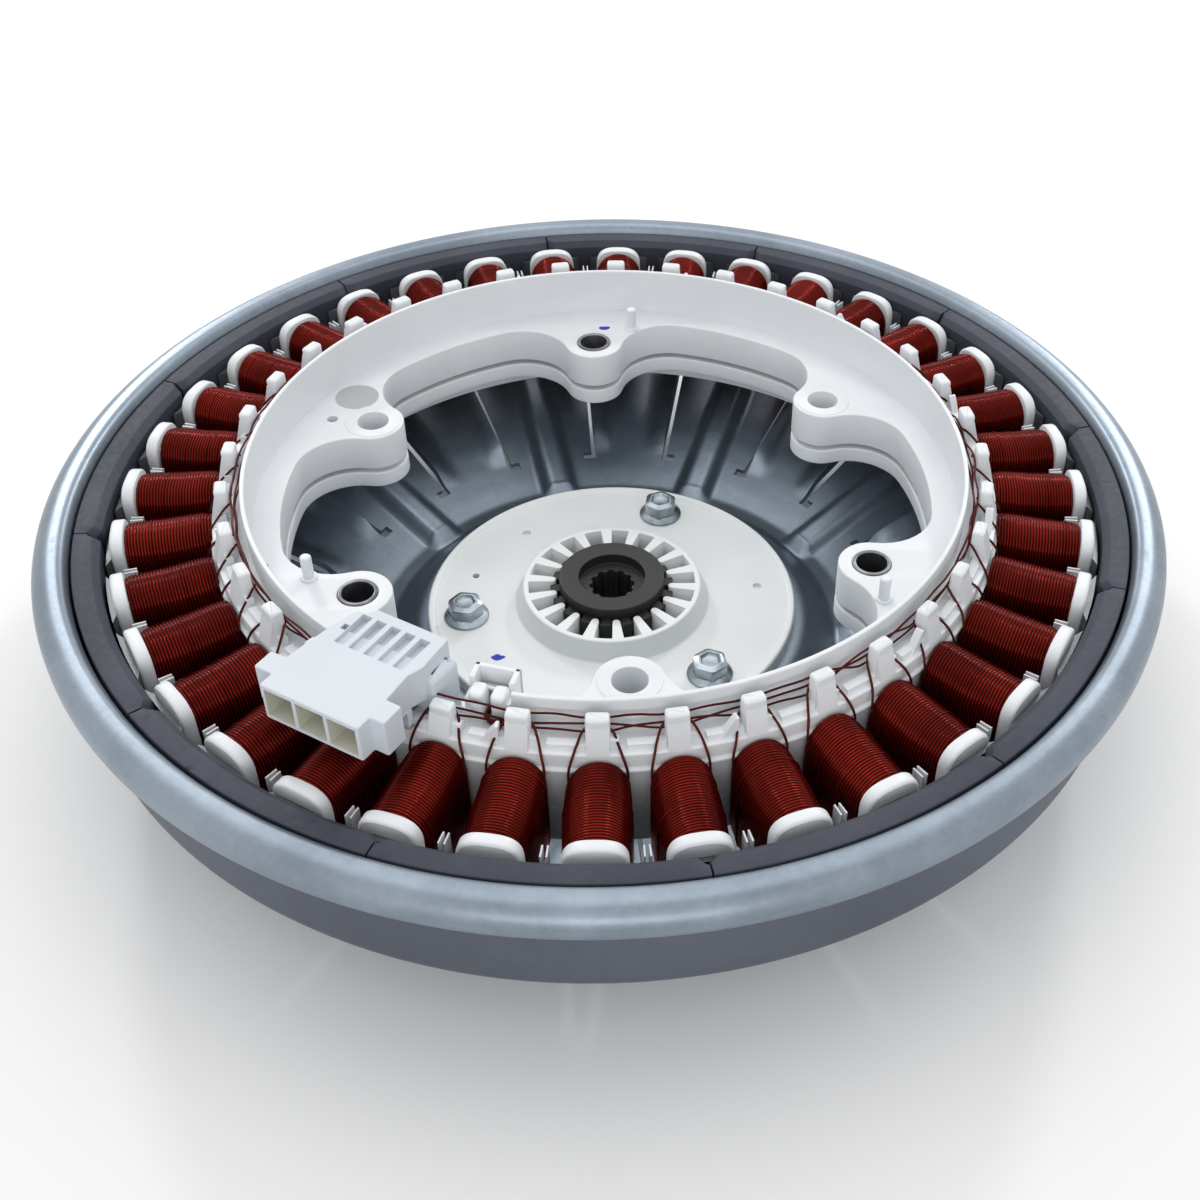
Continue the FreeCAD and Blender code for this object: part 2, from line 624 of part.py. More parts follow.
def centre_opening(body, top, depth):
    """Cuts the middle of an insulator ring so that six blended mounting lobes stay."""
    outline = turned_sketch(body, "centre_outline", size("boss_phase"), top)
    count = int(size("boss_count"))
    pitch = 360.0 / count
    ring, fan = cell("ring_inner_radius"), cell("lobe_fan")
    touch, touch_angle = cell("touch_radius"), cell("touch_angle")
    blend, knob = cell("boss_blend"), cell("boss_radius")

    def on_blend(middle, side):
        """A point that the arc of one blend passes, near its middle."""
        centre = spin(middle + side * size("lobe_fan")).multVec(FreeCAD.Vector(size("blend_reach"), 0, 0))
        knob_centre = spin(middle).multVec(FreeCAD.Vector(size("boss_circle_radius"), 0, 0))
        to_knob = (knob_centre - centre).normalize()
        outward = FreeCAD.Vector(centre).normalize()
        return centre + (outward + to_knob).normalize() * size("boss_blend")

    arcs = []
    for number in range(count):
        middle = number * pitch
        ring_start = polar(ring, f"{middle - pitch} deg + {fan}")
        blend_start = polar(ring, f"{middle} deg - {fan}")
        knob_start = polar(touch, f"{middle} deg - {touch_angle}")
        rise_start = polar(touch, f"{middle} deg + {touch_angle}")
        tip = FreeCAD.Vector(size("boss_circle_radius") - size("boss_radius"), 0, 0)
        arcs.append((ring_start, spin(middle - pitch / 2).multVec(FreeCAD.Vector(value(ring), 0, 0)), ring, True))
        arcs.append((blend_start, on_blend(middle, -1), blend, True))
        arcs.append((knob_start, spin(middle).multVec(tip), knob, False))
        arcs.append((rise_start, on_blend(middle, 1), blend, True))
    pieces = []
    for (start, through, radius, _), (following, _, _, _) in zip(arcs, arcs[1:] + arcs[:1]):
        ends = [FreeCAD.Vector(value(x), value(y), 0) for x, y in (start, following)]
        pieces.append(outline.addGeometry(Part.Arc(ends[0], through, ends[1]), False))
    for index, (start, through, radius, forward) in enumerate(arcs):
        after = (index + 1) % len(arcs)
        outline.addConstraint(Sketcher.Constraint("Coincident", pieces[index], 2 if forward else 1,
                                                  pieces[after], 1 if arcs[after][3] else 2))
        pin_point(outline, pieces[index], 1 if forward else 2, *start)
        bind_radius(outline, pieces[index], radius)
    extrude(body, outline, "centre_opening", depth, cut=True)


def lobe_holes(body, top, depth):
    """Alternate lobes are bored for a steel bush and left plain."""
    pitch = 360.0 / size("boss_count")
    for index, radius in enumerate((cell("plain_hole_radius"), cell("bush_outer_radius"))):
        outline = turned_sketch(body, f"lobe_hole_{index}", size("boss_phase") + pitch * index, top)
        add_circle(outline, cell("boss_circle_radius"), 0, radius)
        hole = extrude(body, outline, f"lobe_bore_{index}", depth, cut=True)
        ring_of(body, [hole], f"lobe_bores_{index}", f"{cell('boss_count')} / 2")


def tooth_cover(body, core_face, flange_end, corner):
    """Cover of one tooth end face, with its end flange over the pole shoe."""
    up = value(flange_end) > value(core_face)
    skin = new_sketch(body, "tooth_skin_outline", "XY_Plane", core_face)
    half = f"({cell('tooth_width')} / 2 + {cell('skin')})"
    flange_in = cell("flange_inner_radius")
    add_box(skin, f"{cell('yoke_outer_radius')} + {cell('skin')} / 2", f"{flange_in} + 0.5", f"-{half}", half)
    cover = extrude(body, skin, "tooth_skin", cell("skin"), backward=not up)
    side = f"({cell('flange_width')} / 2)"
    drop = corner if up else f"-({corner})"
    plate = new_sketch(body, "flange_outline", "YZ_Plane", flange_in)
    add_polygon(plate, [
        (f"-{side}", core_face), (side, core_face), (side, f"{flange_end} - {drop}"),
        (f"{side} - {corner}", flange_end), (f"-({side} - {corner})", flange_end),
        (f"-{side}", f"{flange_end} - {drop}")])
    return [cover, extrude(body, plate, "flange", f"{cell('flange_outer_radius')} - {flange_in}")]


def make_upper_insulator():
    body = new_body("upper_insulator_body")
    core_top = f"({cell('core_bottom')} + {cell('core_height')} + {cell('fit')})"
    split, top, shelf = cell("split_high"), cell("ring_top"), cell("shelf_top")
    ring_in = f"{cell('boss_circle_radius')} - {cell('boss_radius')} - 1"
    wall_in, wall_out = cell("wall_inner_radius"), cell("wall_outer_radius")
    hub_side = f"{cell('yoke_inner_radius')} - {cell('fit')}"
    ledge = f"{cell('yoke_outer_radius')} + {cell('skin')}"
    section = new_sketch(body, "upper_section", "XZ_Plane")
    add_polygon(section, [
        (ring_in, split),
        (hub_side, split),
        (hub_side, core_top),
        (ledge, core_top),
        (ledge, shelf),
        (wall_out, shelf),
        (wall_out, cell("wall_top")),
        (wall_in, cell("wall_top")),
        (wall_in, top),
        (ring_in, top),
    ])
    turn(body, section, "upper_ring")
    centre_opening(body, top, f"{top} - {split} + 1")
    lobe_holes(body, top, f"{top} - {split} + 1")

    pin_angle = size("boss_phase") + 360.0 / size("boss_count") - size("pin_lag")
    pin_sketch = turned_sketch(body, "pin_outline", pin_angle, f"{top} - 0.5")
    add_circle(pin_sketch, cell("pin_circle_radius"), 0, cell("pin_radius"))
    pin = extrude(body, pin_sketch, "locating_pin", f"{cell('pin_height')} + 0.5")
    ring_of(body, [pin], "locating_pins", f"{cell('boss_count')} / 2")

    made = tooth_cover(body, core_top, cell("flange_top"), cell("flange_corner"))
    peg_sketch = new_sketch(body, "peg_outline", "YZ_Plane", cell("peg_inner_radius"))
    half, foot = f"{cell('peg_width')} / 2", f"{cell('peg_foot_width')} / 2"
    add_polygon(peg_sketch, [
        (f"-({foot})", shelf), (foot, shelf), (half, cell("peg_foot_top")), (half, cell("wall_top")),
        (f"-({half})", cell("wall_top")), (f"-({half})", cell("peg_foot_top"))])
    made.append(extrude(body, peg_sketch, "peg", f"{cell('peg_outer_radius')} - {cell('peg_inner_radius')}"))
    ring_of(body, made, "tooth_covers", cell("tooth_count"))
    neutral_housing(body)
    connector_window(body)
    ship(body, "upper_insulator")


def neutral_housing(body):
    """Small open box on the ring that holds the crimp of the star point."""
    top = cell("ring_top")
    angle = size("neutral_angle")
    half = f"{cell('neutral_width')} / 2"
    back = f"{cell('ring_inner_radius')} + 0.3"
    box_sketch = turned_sketch(body, "neutral_box_outline", angle, f"{top} - 0.5")
    add_box(box_sketch, back, f"{cell('wall_outer_radius')} + 0.6", f"-({half})", half)
    extrude(body, box_sketch, "neutral_box", f"{cell('neutral_top')} - {top} + 0.5")
    room_sketch = turned_sketch(body, "neutral_room_outline", angle, cell("neutral_top"))
    clear = 0.3
    room_half = f"{cell('neutral_crimp_length')} / 2 + {clear}"
    add_box(room_sketch, f"{back} + 1.2", f"{back} + 1.2 + {cell('neutral_crimp_width')} + {2 * clear}",
            f"-({room_half})", room_half)
    extrude(body, room_sketch, "neutral_room", f"{cell('neutral_top')} - {top} - 0.8", cut=True)
    mouth_sketch = turned_sketch(body, "neutral_mouth_outline", angle, cell("neutral_top"))
    add_box(mouth_sketch, f"{back} + 1.6 + {cell('neutral_crimp_width')}", f"{cell('wall_outer_radius')} + 2",
            "-0.9", "0.9")
    extrude(body, mouth_sketch, "neutral_mouth", f"{cell('neutral_top')} - {cell('shelf_top')}", cut=True)


def connector_window(body):
    """Gap in the wall, with one shortened peg, on which the connector housing lies."""
    window = turned_sketch(body, "connector_window_outline", size("connector_angle"),
                           f"{cell('connector_bottom')} - {cell('connector_clearance')} / 4")
    half = f"{cell('connector_width')} / 2 + {cell('connector_clearance')}"
    add_box(window, f"{cell('ring_inner_radius')} - 1", f"{cell('yoke_outer_radius')} + 4", f"-({half})", half)
    extrude(body, window, "connector_window", cell("wall_top"), cut=True, backward=True)


def make_lower_insulator():
    body = new_body("lower_insulator_body")
    split, bottom = cell("split_low"), cell("ring_bottom")
    ring_in = f"{cell('boss_circle_radius')} - {cell('boss_radius')} - 1"
    core_low = f"({cell('core_bottom')} - {cell('fit')})"
    hub_side = f"{cell('yoke_inner_radius')} - {cell('fit')}"
    section = new_sketch(body, "lower_section", "XZ_Plane")
    add_polygon(section, [
        (ring_in, bottom),
        (f"{hub_side} - {cell('skin')}", bottom),
        (f"{hub_side} - {cell('skin')}", f"{core_low} - {cell('skin')}"),
        (f"{cell('yoke_outer_radius')} + {cell('skin')}", f"{core_low} - {cell('skin')}"),
        (f"{cell('yoke_outer_radius')} + {cell('skin')}", core_low),
        (hub_side, core_low),
        (hub_side, split),
        (ring_in, split),
    ])
    turn(body, section, "lower_ring")
    centre_opening(body, split, f"{split} - {bottom} + 1")
    lobe_holes(body, split, f"{split} - {bottom} + 1")
    covers = tooth_cover(body, core_low, cell("flange_bottom"), cell("flange_low_corner"))
    ring_of(body, covers, "tooth_covers", cell("tooth_count"))
    ship(body, "lower_insulator")


def make_windings():
    mid = f"({cell('core_bottom')} + {cell('core_height')} / 2)"
    rise = f"({cell('coil_top')} - {mid})"
    hollow_rise = f"{cell('core_height')} / 2 + {cell('skin')} + {cell('fit')} + {cell('coil_clearance')}"
    hollow_half = f"{cell('tooth_width')} / 2 + {cell('skin')} + {cell('coil_clearance')}"
    start = f"{cell('yoke_outer_radius')} + {cell('skin')} + {cell('fit')} * 4 + {cell('coil_clearance')}"
    length = f"{cell('flange_inner_radius')} - {cell('coil_clearance')} - ({start})"
    half = f"{cell('coil_width')} / 2"
    pitch = 360.0 / size("tooth_count")
    for number, phase in enumerate("uvw"):
        body = new_body(f"{phase}_winding_body")
        outline = new_sketch(body, f"{phase}_coil_outline", "YZ_Plane", start)
        add_box(outline, f"-({half})", half, f"{mid} - {rise}", f"{mid} + {rise}")
        block = extrude(body, outline, f"{phase}_coil_block", length)

        def long_corner(edge):
            ends = [vertex.Point for vertex in edge.Vertexes]
            return abs(ends[0].x - ends[1].x) > 1.0

        rounded = soften(body, block, f"{phase}_coil_round", cell("coil_corner"), long_corner, chamfer=True)
        hollow = new_sketch(body, f"{phase}_coil_hollow_outline", "YZ_Plane", f"{start} - 1")
        add_box(hollow, f"-({hollow_half})", hollow_half, f"{mid} - ({hollow_rise})", f"{mid} + {hollow_rise}")
        opening = extrude(body, hollow, f"{phase}_coil_hollow", f"{length} + 2", cut=True, backward=True)
        ring_of(body, [block, rounded, opening], f"{phase}_coils", f"{cell('tooth_count')} / 3")
        ship(body, f"{phase}_winding", number * pitch)


def make_crossover_wires():
    """Three wires, one above the other, in straight runs from peg to peg behind the pegs."""
    count = int(size("tooth_count"))
    pitch = 360.0 / count
    reach = size("peg_inner_radius") - size("wire_radius") - size("fit")
    start = pitch * math.ceil(size("connector_angle") / pitch + 0.5)
    rings = []
    for number in range(3):
        height = size("wire_low_height") + number * size("wire_pitch")
        bends = [spin(start + step * pitch).multVec(FreeCAD.Vector(reach, 0, height))
                 for step in range(count - 1)]
        path = Part.makePolygon(bends)
        run = bends[1] - bends[0]
        across = run.cross(FreeCAD.Vector(0, 0, 1)).normalize() * size("wire_radius")
        rise = FreeCAD.Vector(0, 0, size("wire_radius"))
        corners = [bends[0] + across, bends[0] + rise, bends[0] - across, bends[0] - rise]
        outline = Part.makePolygon(corners + corners[:1])
        ring = doc.addObject("Part::Feature", f"crossover_wire_{number + 1}")
        ring.Shape = path.makePipeShell([outline], True, False, 1)
        rings.append(ring)
    bundle = doc.addObject("Part::Compound", "crossover_bundle")
    bundle.Links = rings
    ship(bundle, "crossover_wires")


def make_steel_bushes():
    low = cell("ring_bottom")
    high = f"{cell('ring_top')} + {cell('bush_proud')}"
    for number in range(3):
        tag = f"steel_bush_{number + 1}"
        body = new_body(f"{tag}_body")
        section = new_sketch(body, f"{tag}_outline", "XY_Plane", low)
        add_circle(section, cell("boss_circle_radius"), 0, cell("bush_outer_radius"))
        add_circle(section, cell("boss_circle_radius"), 0, cell("bush_inner_radius"))
        extrude(body, section, f"{tag}_tube", f"{high} - {low}")
        ship(body, tag, size("boss_phase") + 360.0 / size("boss_count") * (2 * number + 1))


def make_connector():
    body = new_body("connector_housing_body")
    low, high = cell("connector_bottom"), cell("connector_top")
    back, front = cell("connector_back"), cell("connector_front")
    half = f"{cell('connector_width')} / 2"
    ear = f"({half} + {cell('connector_ear_reach')})"
    outline = new_sketch(body, "connector_outline", "XY_Plane", low)
    add_polygon(outline, [
        (back, f"-({half})"), (cell("connector_ear_back"), f"-({half})"),
        (cell("connector_ear_back"), f"-{ear}"), (cell("connector_ear_front"), f"-{ear}"),
        (cell("connector_ear_front"), f"-({half})"), (front, f"-({half})"),
        (front, half), (cell("connector_ear_front"), half),
        (cell("connector_ear_front"), ear), (cell("connector_ear_back"), ear),
        (cell("connector_ear_back"), half), (f"{back} + 2.6", half),
        (f"{back} + 2.6", f"{half} - 6"), (back, f"{half} - 6"),
    ])
    extrude(body, outline, "connector_block", f"{high} - {low}")
    foot = new_sketch(body, "connector_foot_outline", "XY_Plane", cell("ring_top"))
    foot_front = f"sqrt({cell('wall_inner_radius')} ^ 2 - ({half}) ^ 2) - {cell('connector_clearance')}"
    add_box(foot, f"{back} + 2.6", foot_front, f"-({half})", half)
    extrude(body, foot, "connector_foot", f"{low} - {cell('ring_top')} + 0.5")
    wall = cell("connector_wall")
    pitch = f"(({cell('connector_width')} - {wall}) / 3)"
    for number in range(3):
        hole = new_sketch(body, f"socket_outline_{number + 1}", "YZ_Plane", front)
        y_low = f"-({half}) + {wall} + {number} * {pitch}"
        add_box(hole, y_low, f"{y_low} + {pitch} - {wall}", f"{low} + {wall}", f"{high} - {wall}")
        extrude(body, hole, f"socket_{number + 1}", cell("socket_depth"), cut=True)
    slot_low = cell("slot_back")
    count = int(size("slot_count"))
    for number in range(count):
        slot = new_sketch(body, f"slot_outline_{number + 1}", "XY_Plane", high)
        centre = f"({number} - {(count - 1) / 2}) * {cell('slot_pitch')}"
        add_box(slot, slot_low, f"{slot_low} + {cell('slot_length')}",
                f"{centre} - {cell('slot_width')} / 2", f"{centre} + {cell('slot_width')} / 2")
        extrude(body, slot, f"slot_{number + 1}", cell("slot_depth"), cut=True)
    ship(body, "connector_housing", size("connector_angle"))


def make_phase_terminals():
    low, high = cell("connector_bottom"), cell("connector_top")
    wall = cell("connector_wall")
    half = f"{cell('connector_width')} / 2"
    pitch = f"(({cell('connector_width')} - {wall}) / 3)"
    depth_end = f"{cell('connector_front')} - {cell('socket_depth')}"
    for number, phase in enumerate("uvw"):
        tag = f"phase_terminal_{phase}"
        body = new_body(f"{tag}_body")
        outline = new_sketch(body, f"{tag}_outline", "YZ_Plane", depth_end)
        centre = f"(-({half}) + {wall} / 2 + ({number} + 0.5) * {pitch})"
        middle = f"(({low} + {high}) / 2)"
        add_box(outline, f"{centre} - {cell('blade_width')} / 2", f"{centre} + {cell('blade_width')} / 2",
                f"{middle} - {cell('blade_sheet')} / 2", f"{middle} + {cell('blade_sheet')} / 2")
        extrude(body, outline, f"{tag}_blade", cell("blade_length"))
        ship(body, tag, size("connector_angle"))


def make_neutral_terminal():
    body = new_body("neutral_terminal_body")
    back = f"{cell('ring_inner_radius')} + 1.8"
    half = f"{cell('neutral_crimp_length')} / 2"
    sketch = new_sketch(body, "crimp_outline", "XY_Plane", f"{cell('ring_top')} + 0.8")
    add_box(sketch, back, f"{back} + {cell('neutral_crimp_width')}", f"-({half})", half)
    extrude(body, sketch, "crimp", cell("neutral_crimp_height"))
    ship(body, "neutral_terminal", size("neutral_angle"))


make_rotor_cup()
make_magnets()
make_rotor_hub()
make_spline_bushing()
make_hub_bolts()
make_core()
make_upper_insulator()
make_lower_insulator()
make_windings()
make_crossover_wires()
make_steel_bushes()
make_connector()
make_phase_terminals()
make_neutral_terminal()
doc.recompute()

for thing in doc.Objects:
    if "Invalid" in thing.State or "Error" in thing.State:
        raise RuntimeError(f"{thing.Name} failed: {thing.State}")
for thing in SHIPPED:
    shape = thing.Shape
    if shape.isNull() or not shape.isValid():
        raise RuntimeError(f"{thing.Label} has no valid shape")
    box = shape.BoundBox
    print(f"{thing.Label}: {len(shape.Solids)} solids, {shape.Volume:.0f} mm3, "
          f"z {box.ZMin:.1f} to {box.ZMax:.1f}, x {box.XMin:.1f} to {box.XMax:.1f}")
    shape.exportStep(f"parts/{thing.Label}.step")
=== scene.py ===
import math
import random

import bmesh
import bpy
from mathutils import Matrix, Vector


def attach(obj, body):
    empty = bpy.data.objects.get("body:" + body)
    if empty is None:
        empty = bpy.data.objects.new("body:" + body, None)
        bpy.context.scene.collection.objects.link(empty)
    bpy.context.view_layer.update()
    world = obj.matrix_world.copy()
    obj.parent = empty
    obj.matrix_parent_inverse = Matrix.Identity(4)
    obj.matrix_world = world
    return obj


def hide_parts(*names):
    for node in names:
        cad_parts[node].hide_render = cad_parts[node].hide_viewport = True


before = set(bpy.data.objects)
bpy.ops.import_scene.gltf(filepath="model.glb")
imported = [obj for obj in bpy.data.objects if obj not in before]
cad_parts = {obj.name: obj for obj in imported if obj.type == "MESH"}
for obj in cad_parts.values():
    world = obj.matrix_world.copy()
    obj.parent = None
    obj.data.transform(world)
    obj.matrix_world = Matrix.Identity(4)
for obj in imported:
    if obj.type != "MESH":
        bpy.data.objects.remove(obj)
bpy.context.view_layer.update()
MM = 0.001

# sizes in millimetres and degrees
TEETH = 36
PITCH = 360.0 / TEETH
RIBS, RIB_PHASE = 10, 33.5
SECTOR = 360.0 / RIBS
SHEET = 1.9
SLOT_FROM, SLOT_TO, SLOT_AXIS = 81.8, 119.0, 10.0
MAGNETS, MAGNET_PHASE = 12, 10.2
HUB_SEAT, HUB_TOP, HUB_PHASE = 11.4, 14.4, 5.3
BOLT_CIRCLE, BOLT_PHASE = 42.4, 70.65
LOBES = [35.0 + 60.0 * i for i in range(6)]
PLAIN, BUSHED = LOBES[0::2], LOBES[1::2]
RING_IN, LOBE_AT, LOBE_R, FLARE = 88.4, 76.2, 8.8, 15.0
PLAIN_HOLE, BUSH_HOLE = 4.5, 5.1
PIN_CIRCLE, PIN_LAG = 84.5, 8.4
RING_TOP, WALL_TOP, LEDGE = 54.3, 68.2, 59.0
MIDDLE = 42.75
FLANGE_HALF = 7.3
COIL_HALF, COIL_RISE = 7.15, 14.75
CONNECTOR_AT, NEUTRAL_AT = -120.5, -105.0
WALL_FROM, WALL_TO = -101.6, 231.4


# ---------------------------------------------------------------- shader arithmetic

class Shade:
    """A shader socket that takes part in plain arithmetic."""

    def __init__(self, tree, socket):
        self.tree, self.socket = tree, socket

    def _with(self, operation, first, second=None, third=None):
        node = self.tree.nodes.new("ShaderNodeMath")
        node.operation = operation
        for slot, item in zip(node.inputs, (first, second, third)):
            if isinstance(item, Shade):
                self.tree.links.new(item.socket, slot)
            elif item is not None:
                slot.default_value = item
        return Shade(self.tree, node.outputs[0])

    def __add__(self, other):
        return self._with("ADD", self, other)

    def __radd__(self, other):
        return self._with("ADD", other, self)

    def __sub__(self, other):
        return self._with("SUBTRACT", self, other)

    def __rsub__(self, other):
        return self._with("SUBTRACT", other, self)

    def __mul__(self, other):
        return self._with("MULTIPLY", self, other)

    def __rmul__(self, other):
        return self._with("MULTIPLY", other, self)

    def __truediv__(self, other):
        return self._with("DIVIDE", self, other)

    def __pow__(self, other):
        return self._with("POWER", self, other)

    def sine(self):
        return self._with("SINE", self)

    def root(self):
        return self._with("SQRT", self)

    def top(self, other):
        return self._with("MAXIMUM", self, other)


class Finish:
    """A procedural material built on one Principled shader."""

    def __init__(self, name, **uniform):
        self.material = bpy.data.materials.new(name)
        self.material.use_nodes = True
        self.tree = self.material.node_tree
        self.shader = self.tree.nodes["Principled BSDF"]
        for key, item in uniform.items():
            self.shader.inputs[key.replace("_", " ")].default_value = item

    def node(self, kind, out=0, settings=None, **sockets):
        node = self.tree.nodes.new(kind)
        for key, item in (settings or {}).items():
            setattr(node, key, item)
        for key, item in sockets.items():
            numbered = key[0] == "i" and key[1:].isdigit()
            slot = node.inputs[int(key[1:]) if numbered else key.replace("_", " ")]
            if isinstance(item, Shade):
                self.tree.links.new(item.socket, slot)
            else:
                slot.default_value = item
        return Shade(self.tree, node.outputs[out])

    def place(self):
        return self.node("ShaderNodeTexCoord", out=3)

    def axes(self):
        parts = self.node("ShaderNodeSeparateXYZ", Vector=self.place())
        outs = parts.socket.node.outputs
        return [Shade(self.tree, outs[i]) for i in range(3)]

    def noise(self, scale, detail=3.0, rough=0.55):
        return self.node("ShaderNodeTexNoise", Vector=self.place(), Scale=scale, Detail=detail,
                         Roughness=rough)

    def band(self, item, low, high, to_low=0.0, to_high=1.0):
        """Smooth step of a value from low to high."""
        return self.node("ShaderNodeMapRange", settings={"interpolation_type": "SMOOTHSTEP"},
                         Value=item, From_Min=low, From_Max=high, To_Min=to_low, To_Max=to_high)

    def blend(self, amount, first, second):
        return self.node("ShaderNodeMix", out=2, settings={"data_type": "RGBA"},
                         i0=amount, i6=first, i7=second)

    def into(self, **sockets):
        for key, item in sockets.items():
            self.tree.links.new(item.socket, self.shader.inputs[key.replace("_", " ")])
        return self

    def bump(self, height, depth, strength=1.0):
        relief = self.node("ShaderNodeBump", Height=height, Distance=depth, Strength=strength)
        return self.into(Normal=relief)


def colour(r, g, b):
    return (r, g, b, 1.0)


def dimmed(tone, red, green, blue):
    """A colour with each part taken down by its own share."""
    return colour(tone[0] * red, tone[1] * green, tone[2] * blue)


def sheet_steel(name, pale, dark, painted_wall_shade, rough, spin_marks):
    """Zinc-plated sheet: cloudy satin tone, faint draw marks and scuffs; the wall outside under the rolled
    rim is rougher and darker with painted shade.
    """
    finish = Finish(name, Metallic=0.86, IOR=1.5)
    clouds = finish.noise(26.0, 4.0)
    mottle = finish.noise(150.0, 5.0, 0.7)
    speck = finish.noise(620.0, 2.0)
    scuff = finish.band(finish.noise(90.0, 6.0, 0.7), 0.60, 0.72)
    x, y, z = finish.axes()
    radius = (x * x + y * y).root()
    rings = (radius * spin_marks + clouds * 2.0).sine()
    tone = finish.band(clouds * 0.75 + mottle * 0.25 + speck * 0.16 - 0.08, 0.3, 0.72)
    base = finish.blend(tone, dark, pale)
    base = finish.blend(scuff * 0.3, base, dimmed(pale, 0.72, 0.72, 0.75))
    # painted shade: below the rolled rim the outside of the wall is darkened, and also made rougher
    under_rim = finish.band(z + (mottle - 0.5) * 0.002, 0.0498, 0.0512, 1.0, 0.0)
    wall = finish.band(radius, 0.1415, 0.1425) * under_rim
    base = finish.blend(wall, base, finish.blend(tone, dimmed(painted_wall_shade, 0.8, 0.8, 0.8), painted_wall_shade))
    chips = finish.band(finish.noise(330.0, 3.0, 0.6), 0.72, 0.76)
    base = finish.blend(chips * 0.5, base, dimmed(dark, 0.4, 0.4, 0.4))
    dullness = rough + (clouds - 0.5) * 0.2 + scuff * 0.12 + rings * 0.012 + wall * 0.1
    finish.into(Base_Color=base, Roughness=dullness)
    return finish.bump(speck * 0.6 + rings * 0.2 + mottle, 0.00012, 0.35).material


def moulded(name, base, shade, rough, ink_dabs=()):
    """Moulded plastic with slight flow tone, fine grain and small smudges."""
    finish = Finish(name, IOR=1.46)
    flow = finish.noise(22.0, 3.0)
    fine = finish.noise(700.0, 2.0)
    smudge = finish.band(finish.noise(55.0, 5.0, 0.65), 0.6, 0.78)
    tone = finish.blend(finish.band(flow, 0.35, 0.75), base, shade)
    tone = finish.blend(smudge * 0.22, tone, dimmed(shade, 0.86, 0.85, 0.83))
    x, y, z = finish.axes()
    wobble = finish.noise(900.0, 2.0)
    for px, py, pz, wide, tall in ink_dabs:
        away = (((x - px) / wide) ** 2.0 + ((y - py) / tall) ** 2.0).root()
        near = finish.band(away + (wobble - 0.5) * 0.9, 0.8, 1.05, 1.0, 0.0)
        level = finish.band((z - pz) * (z - pz), 0.0000005, 0.000002, 1.0, 0.0)
        tone = finish.blend(near * level, tone, colour(0.01, 0.02, 0.42))
    finish.into(Base_Color=tone, Roughness=rough + (flow - 0.5) * 0.12 + smudge * 0.08)
    return finish.bump(fine + flow * 0.5, 0.00006, 0.3).material


def ferrite_block():
    """Sintered magnet: matt, grainy, with small chips."""
    finish = Finish("ferrite_block", IOR=1.4)
    grain = finish.noise(600.0, 3.0)
    wide = finish.noise(30.0, 4.0)
    chips = finish.band(finish.noise(160.0, 5.0, 0.7), 0.64, 0.72)
    tone = finish.blend(finish.band(wide, 0.3, 0.7), colour(0.032, 0.037, 0.053),
                        colour(0.050, 0.056, 0.076))
    tone = finish.blend(chips * 0.5, tone, colour(0.02, 0.02, 0.026))
    finish.into(Base_Color=tone, Roughness=0.6 + (grain - 0.5) * 0.3 + chips * 0.2)
    return finish.bump(grain + chips * -1.5, 0.00008, 0.4).material


def enamel(name, base, deep, rough, metal, shaded_grooves=False):
    """Enamelled copper: red varnish over metal, with painted shade between the turns of a coil."""
    finish = Finish(name, Metallic=metal, IOR=1.36, Specular_Tint=colour(1.0, 0.25, 0.15))
    wide = finish.noise(60.0, 3.0)
    fine = finish.noise(500.0, 2.0)
    tone = finish.blend(finish.band(wide, 0.32, 0.7), deep, base)
    if shaded_grooves:
        # painted shade: the groove attribute darkens the colour to near black between turns and on the coil
        # ends
        groove = finish.node("ShaderNodeAttribute", out=2, settings={"attribute_name": "groove"})
        tone = finish.blend(finish.band(groove, 0.2, 0.85) * 0.96, tone, colour(0.004, 0.001, 0.001))
    finish.into(Base_Color=tone, Roughness=rough + (fine - 0.5) * 0.14)
    return finish.bump(fine, 0.00001, 0.15).material


def worn_steel(name, pale, dark, rough):
    """Bare or plated steel with cloudy wear."""
    finish = Finish(name, Metallic=0.9)
    wide = finish.noise(120.0, 4.0)
    fine = finish.noise(900.0, 2.0)
    tone = finish.blend(finish.band(wide, 0.32, 0.7), dark, pale)
    finish.into(Base_Color=tone, Roughness=rough + (wide - 0.5) * 0.2 + (fine - 0.5) * 0.1)
    return finish.bump(fine, 0.00003, 0.3).material


def laminations():
    """Stacked sheets seen at their edges: fine level lines."""
    finish = Finish("laminations", Metallic=0.75)
    sheet = 0.5 * MM
    lines = (finish.axes()[2] * (2.0 * math.pi / sheet)).sine()
    wide = finish.noise(80.0, 4.0)
    tone = finish.blend(finish.band(wide + lines * 0.12, 0.25, 0.75), colour(0.10, 0.105, 0.11),
                        colour(0.22, 0.225, 0.235))
    finish.into(Base_Color=tone, Roughness=0.42 + (wide - 0.5) * 0.2)
    return finish.bump(lines, 0.00004, 0.4).material


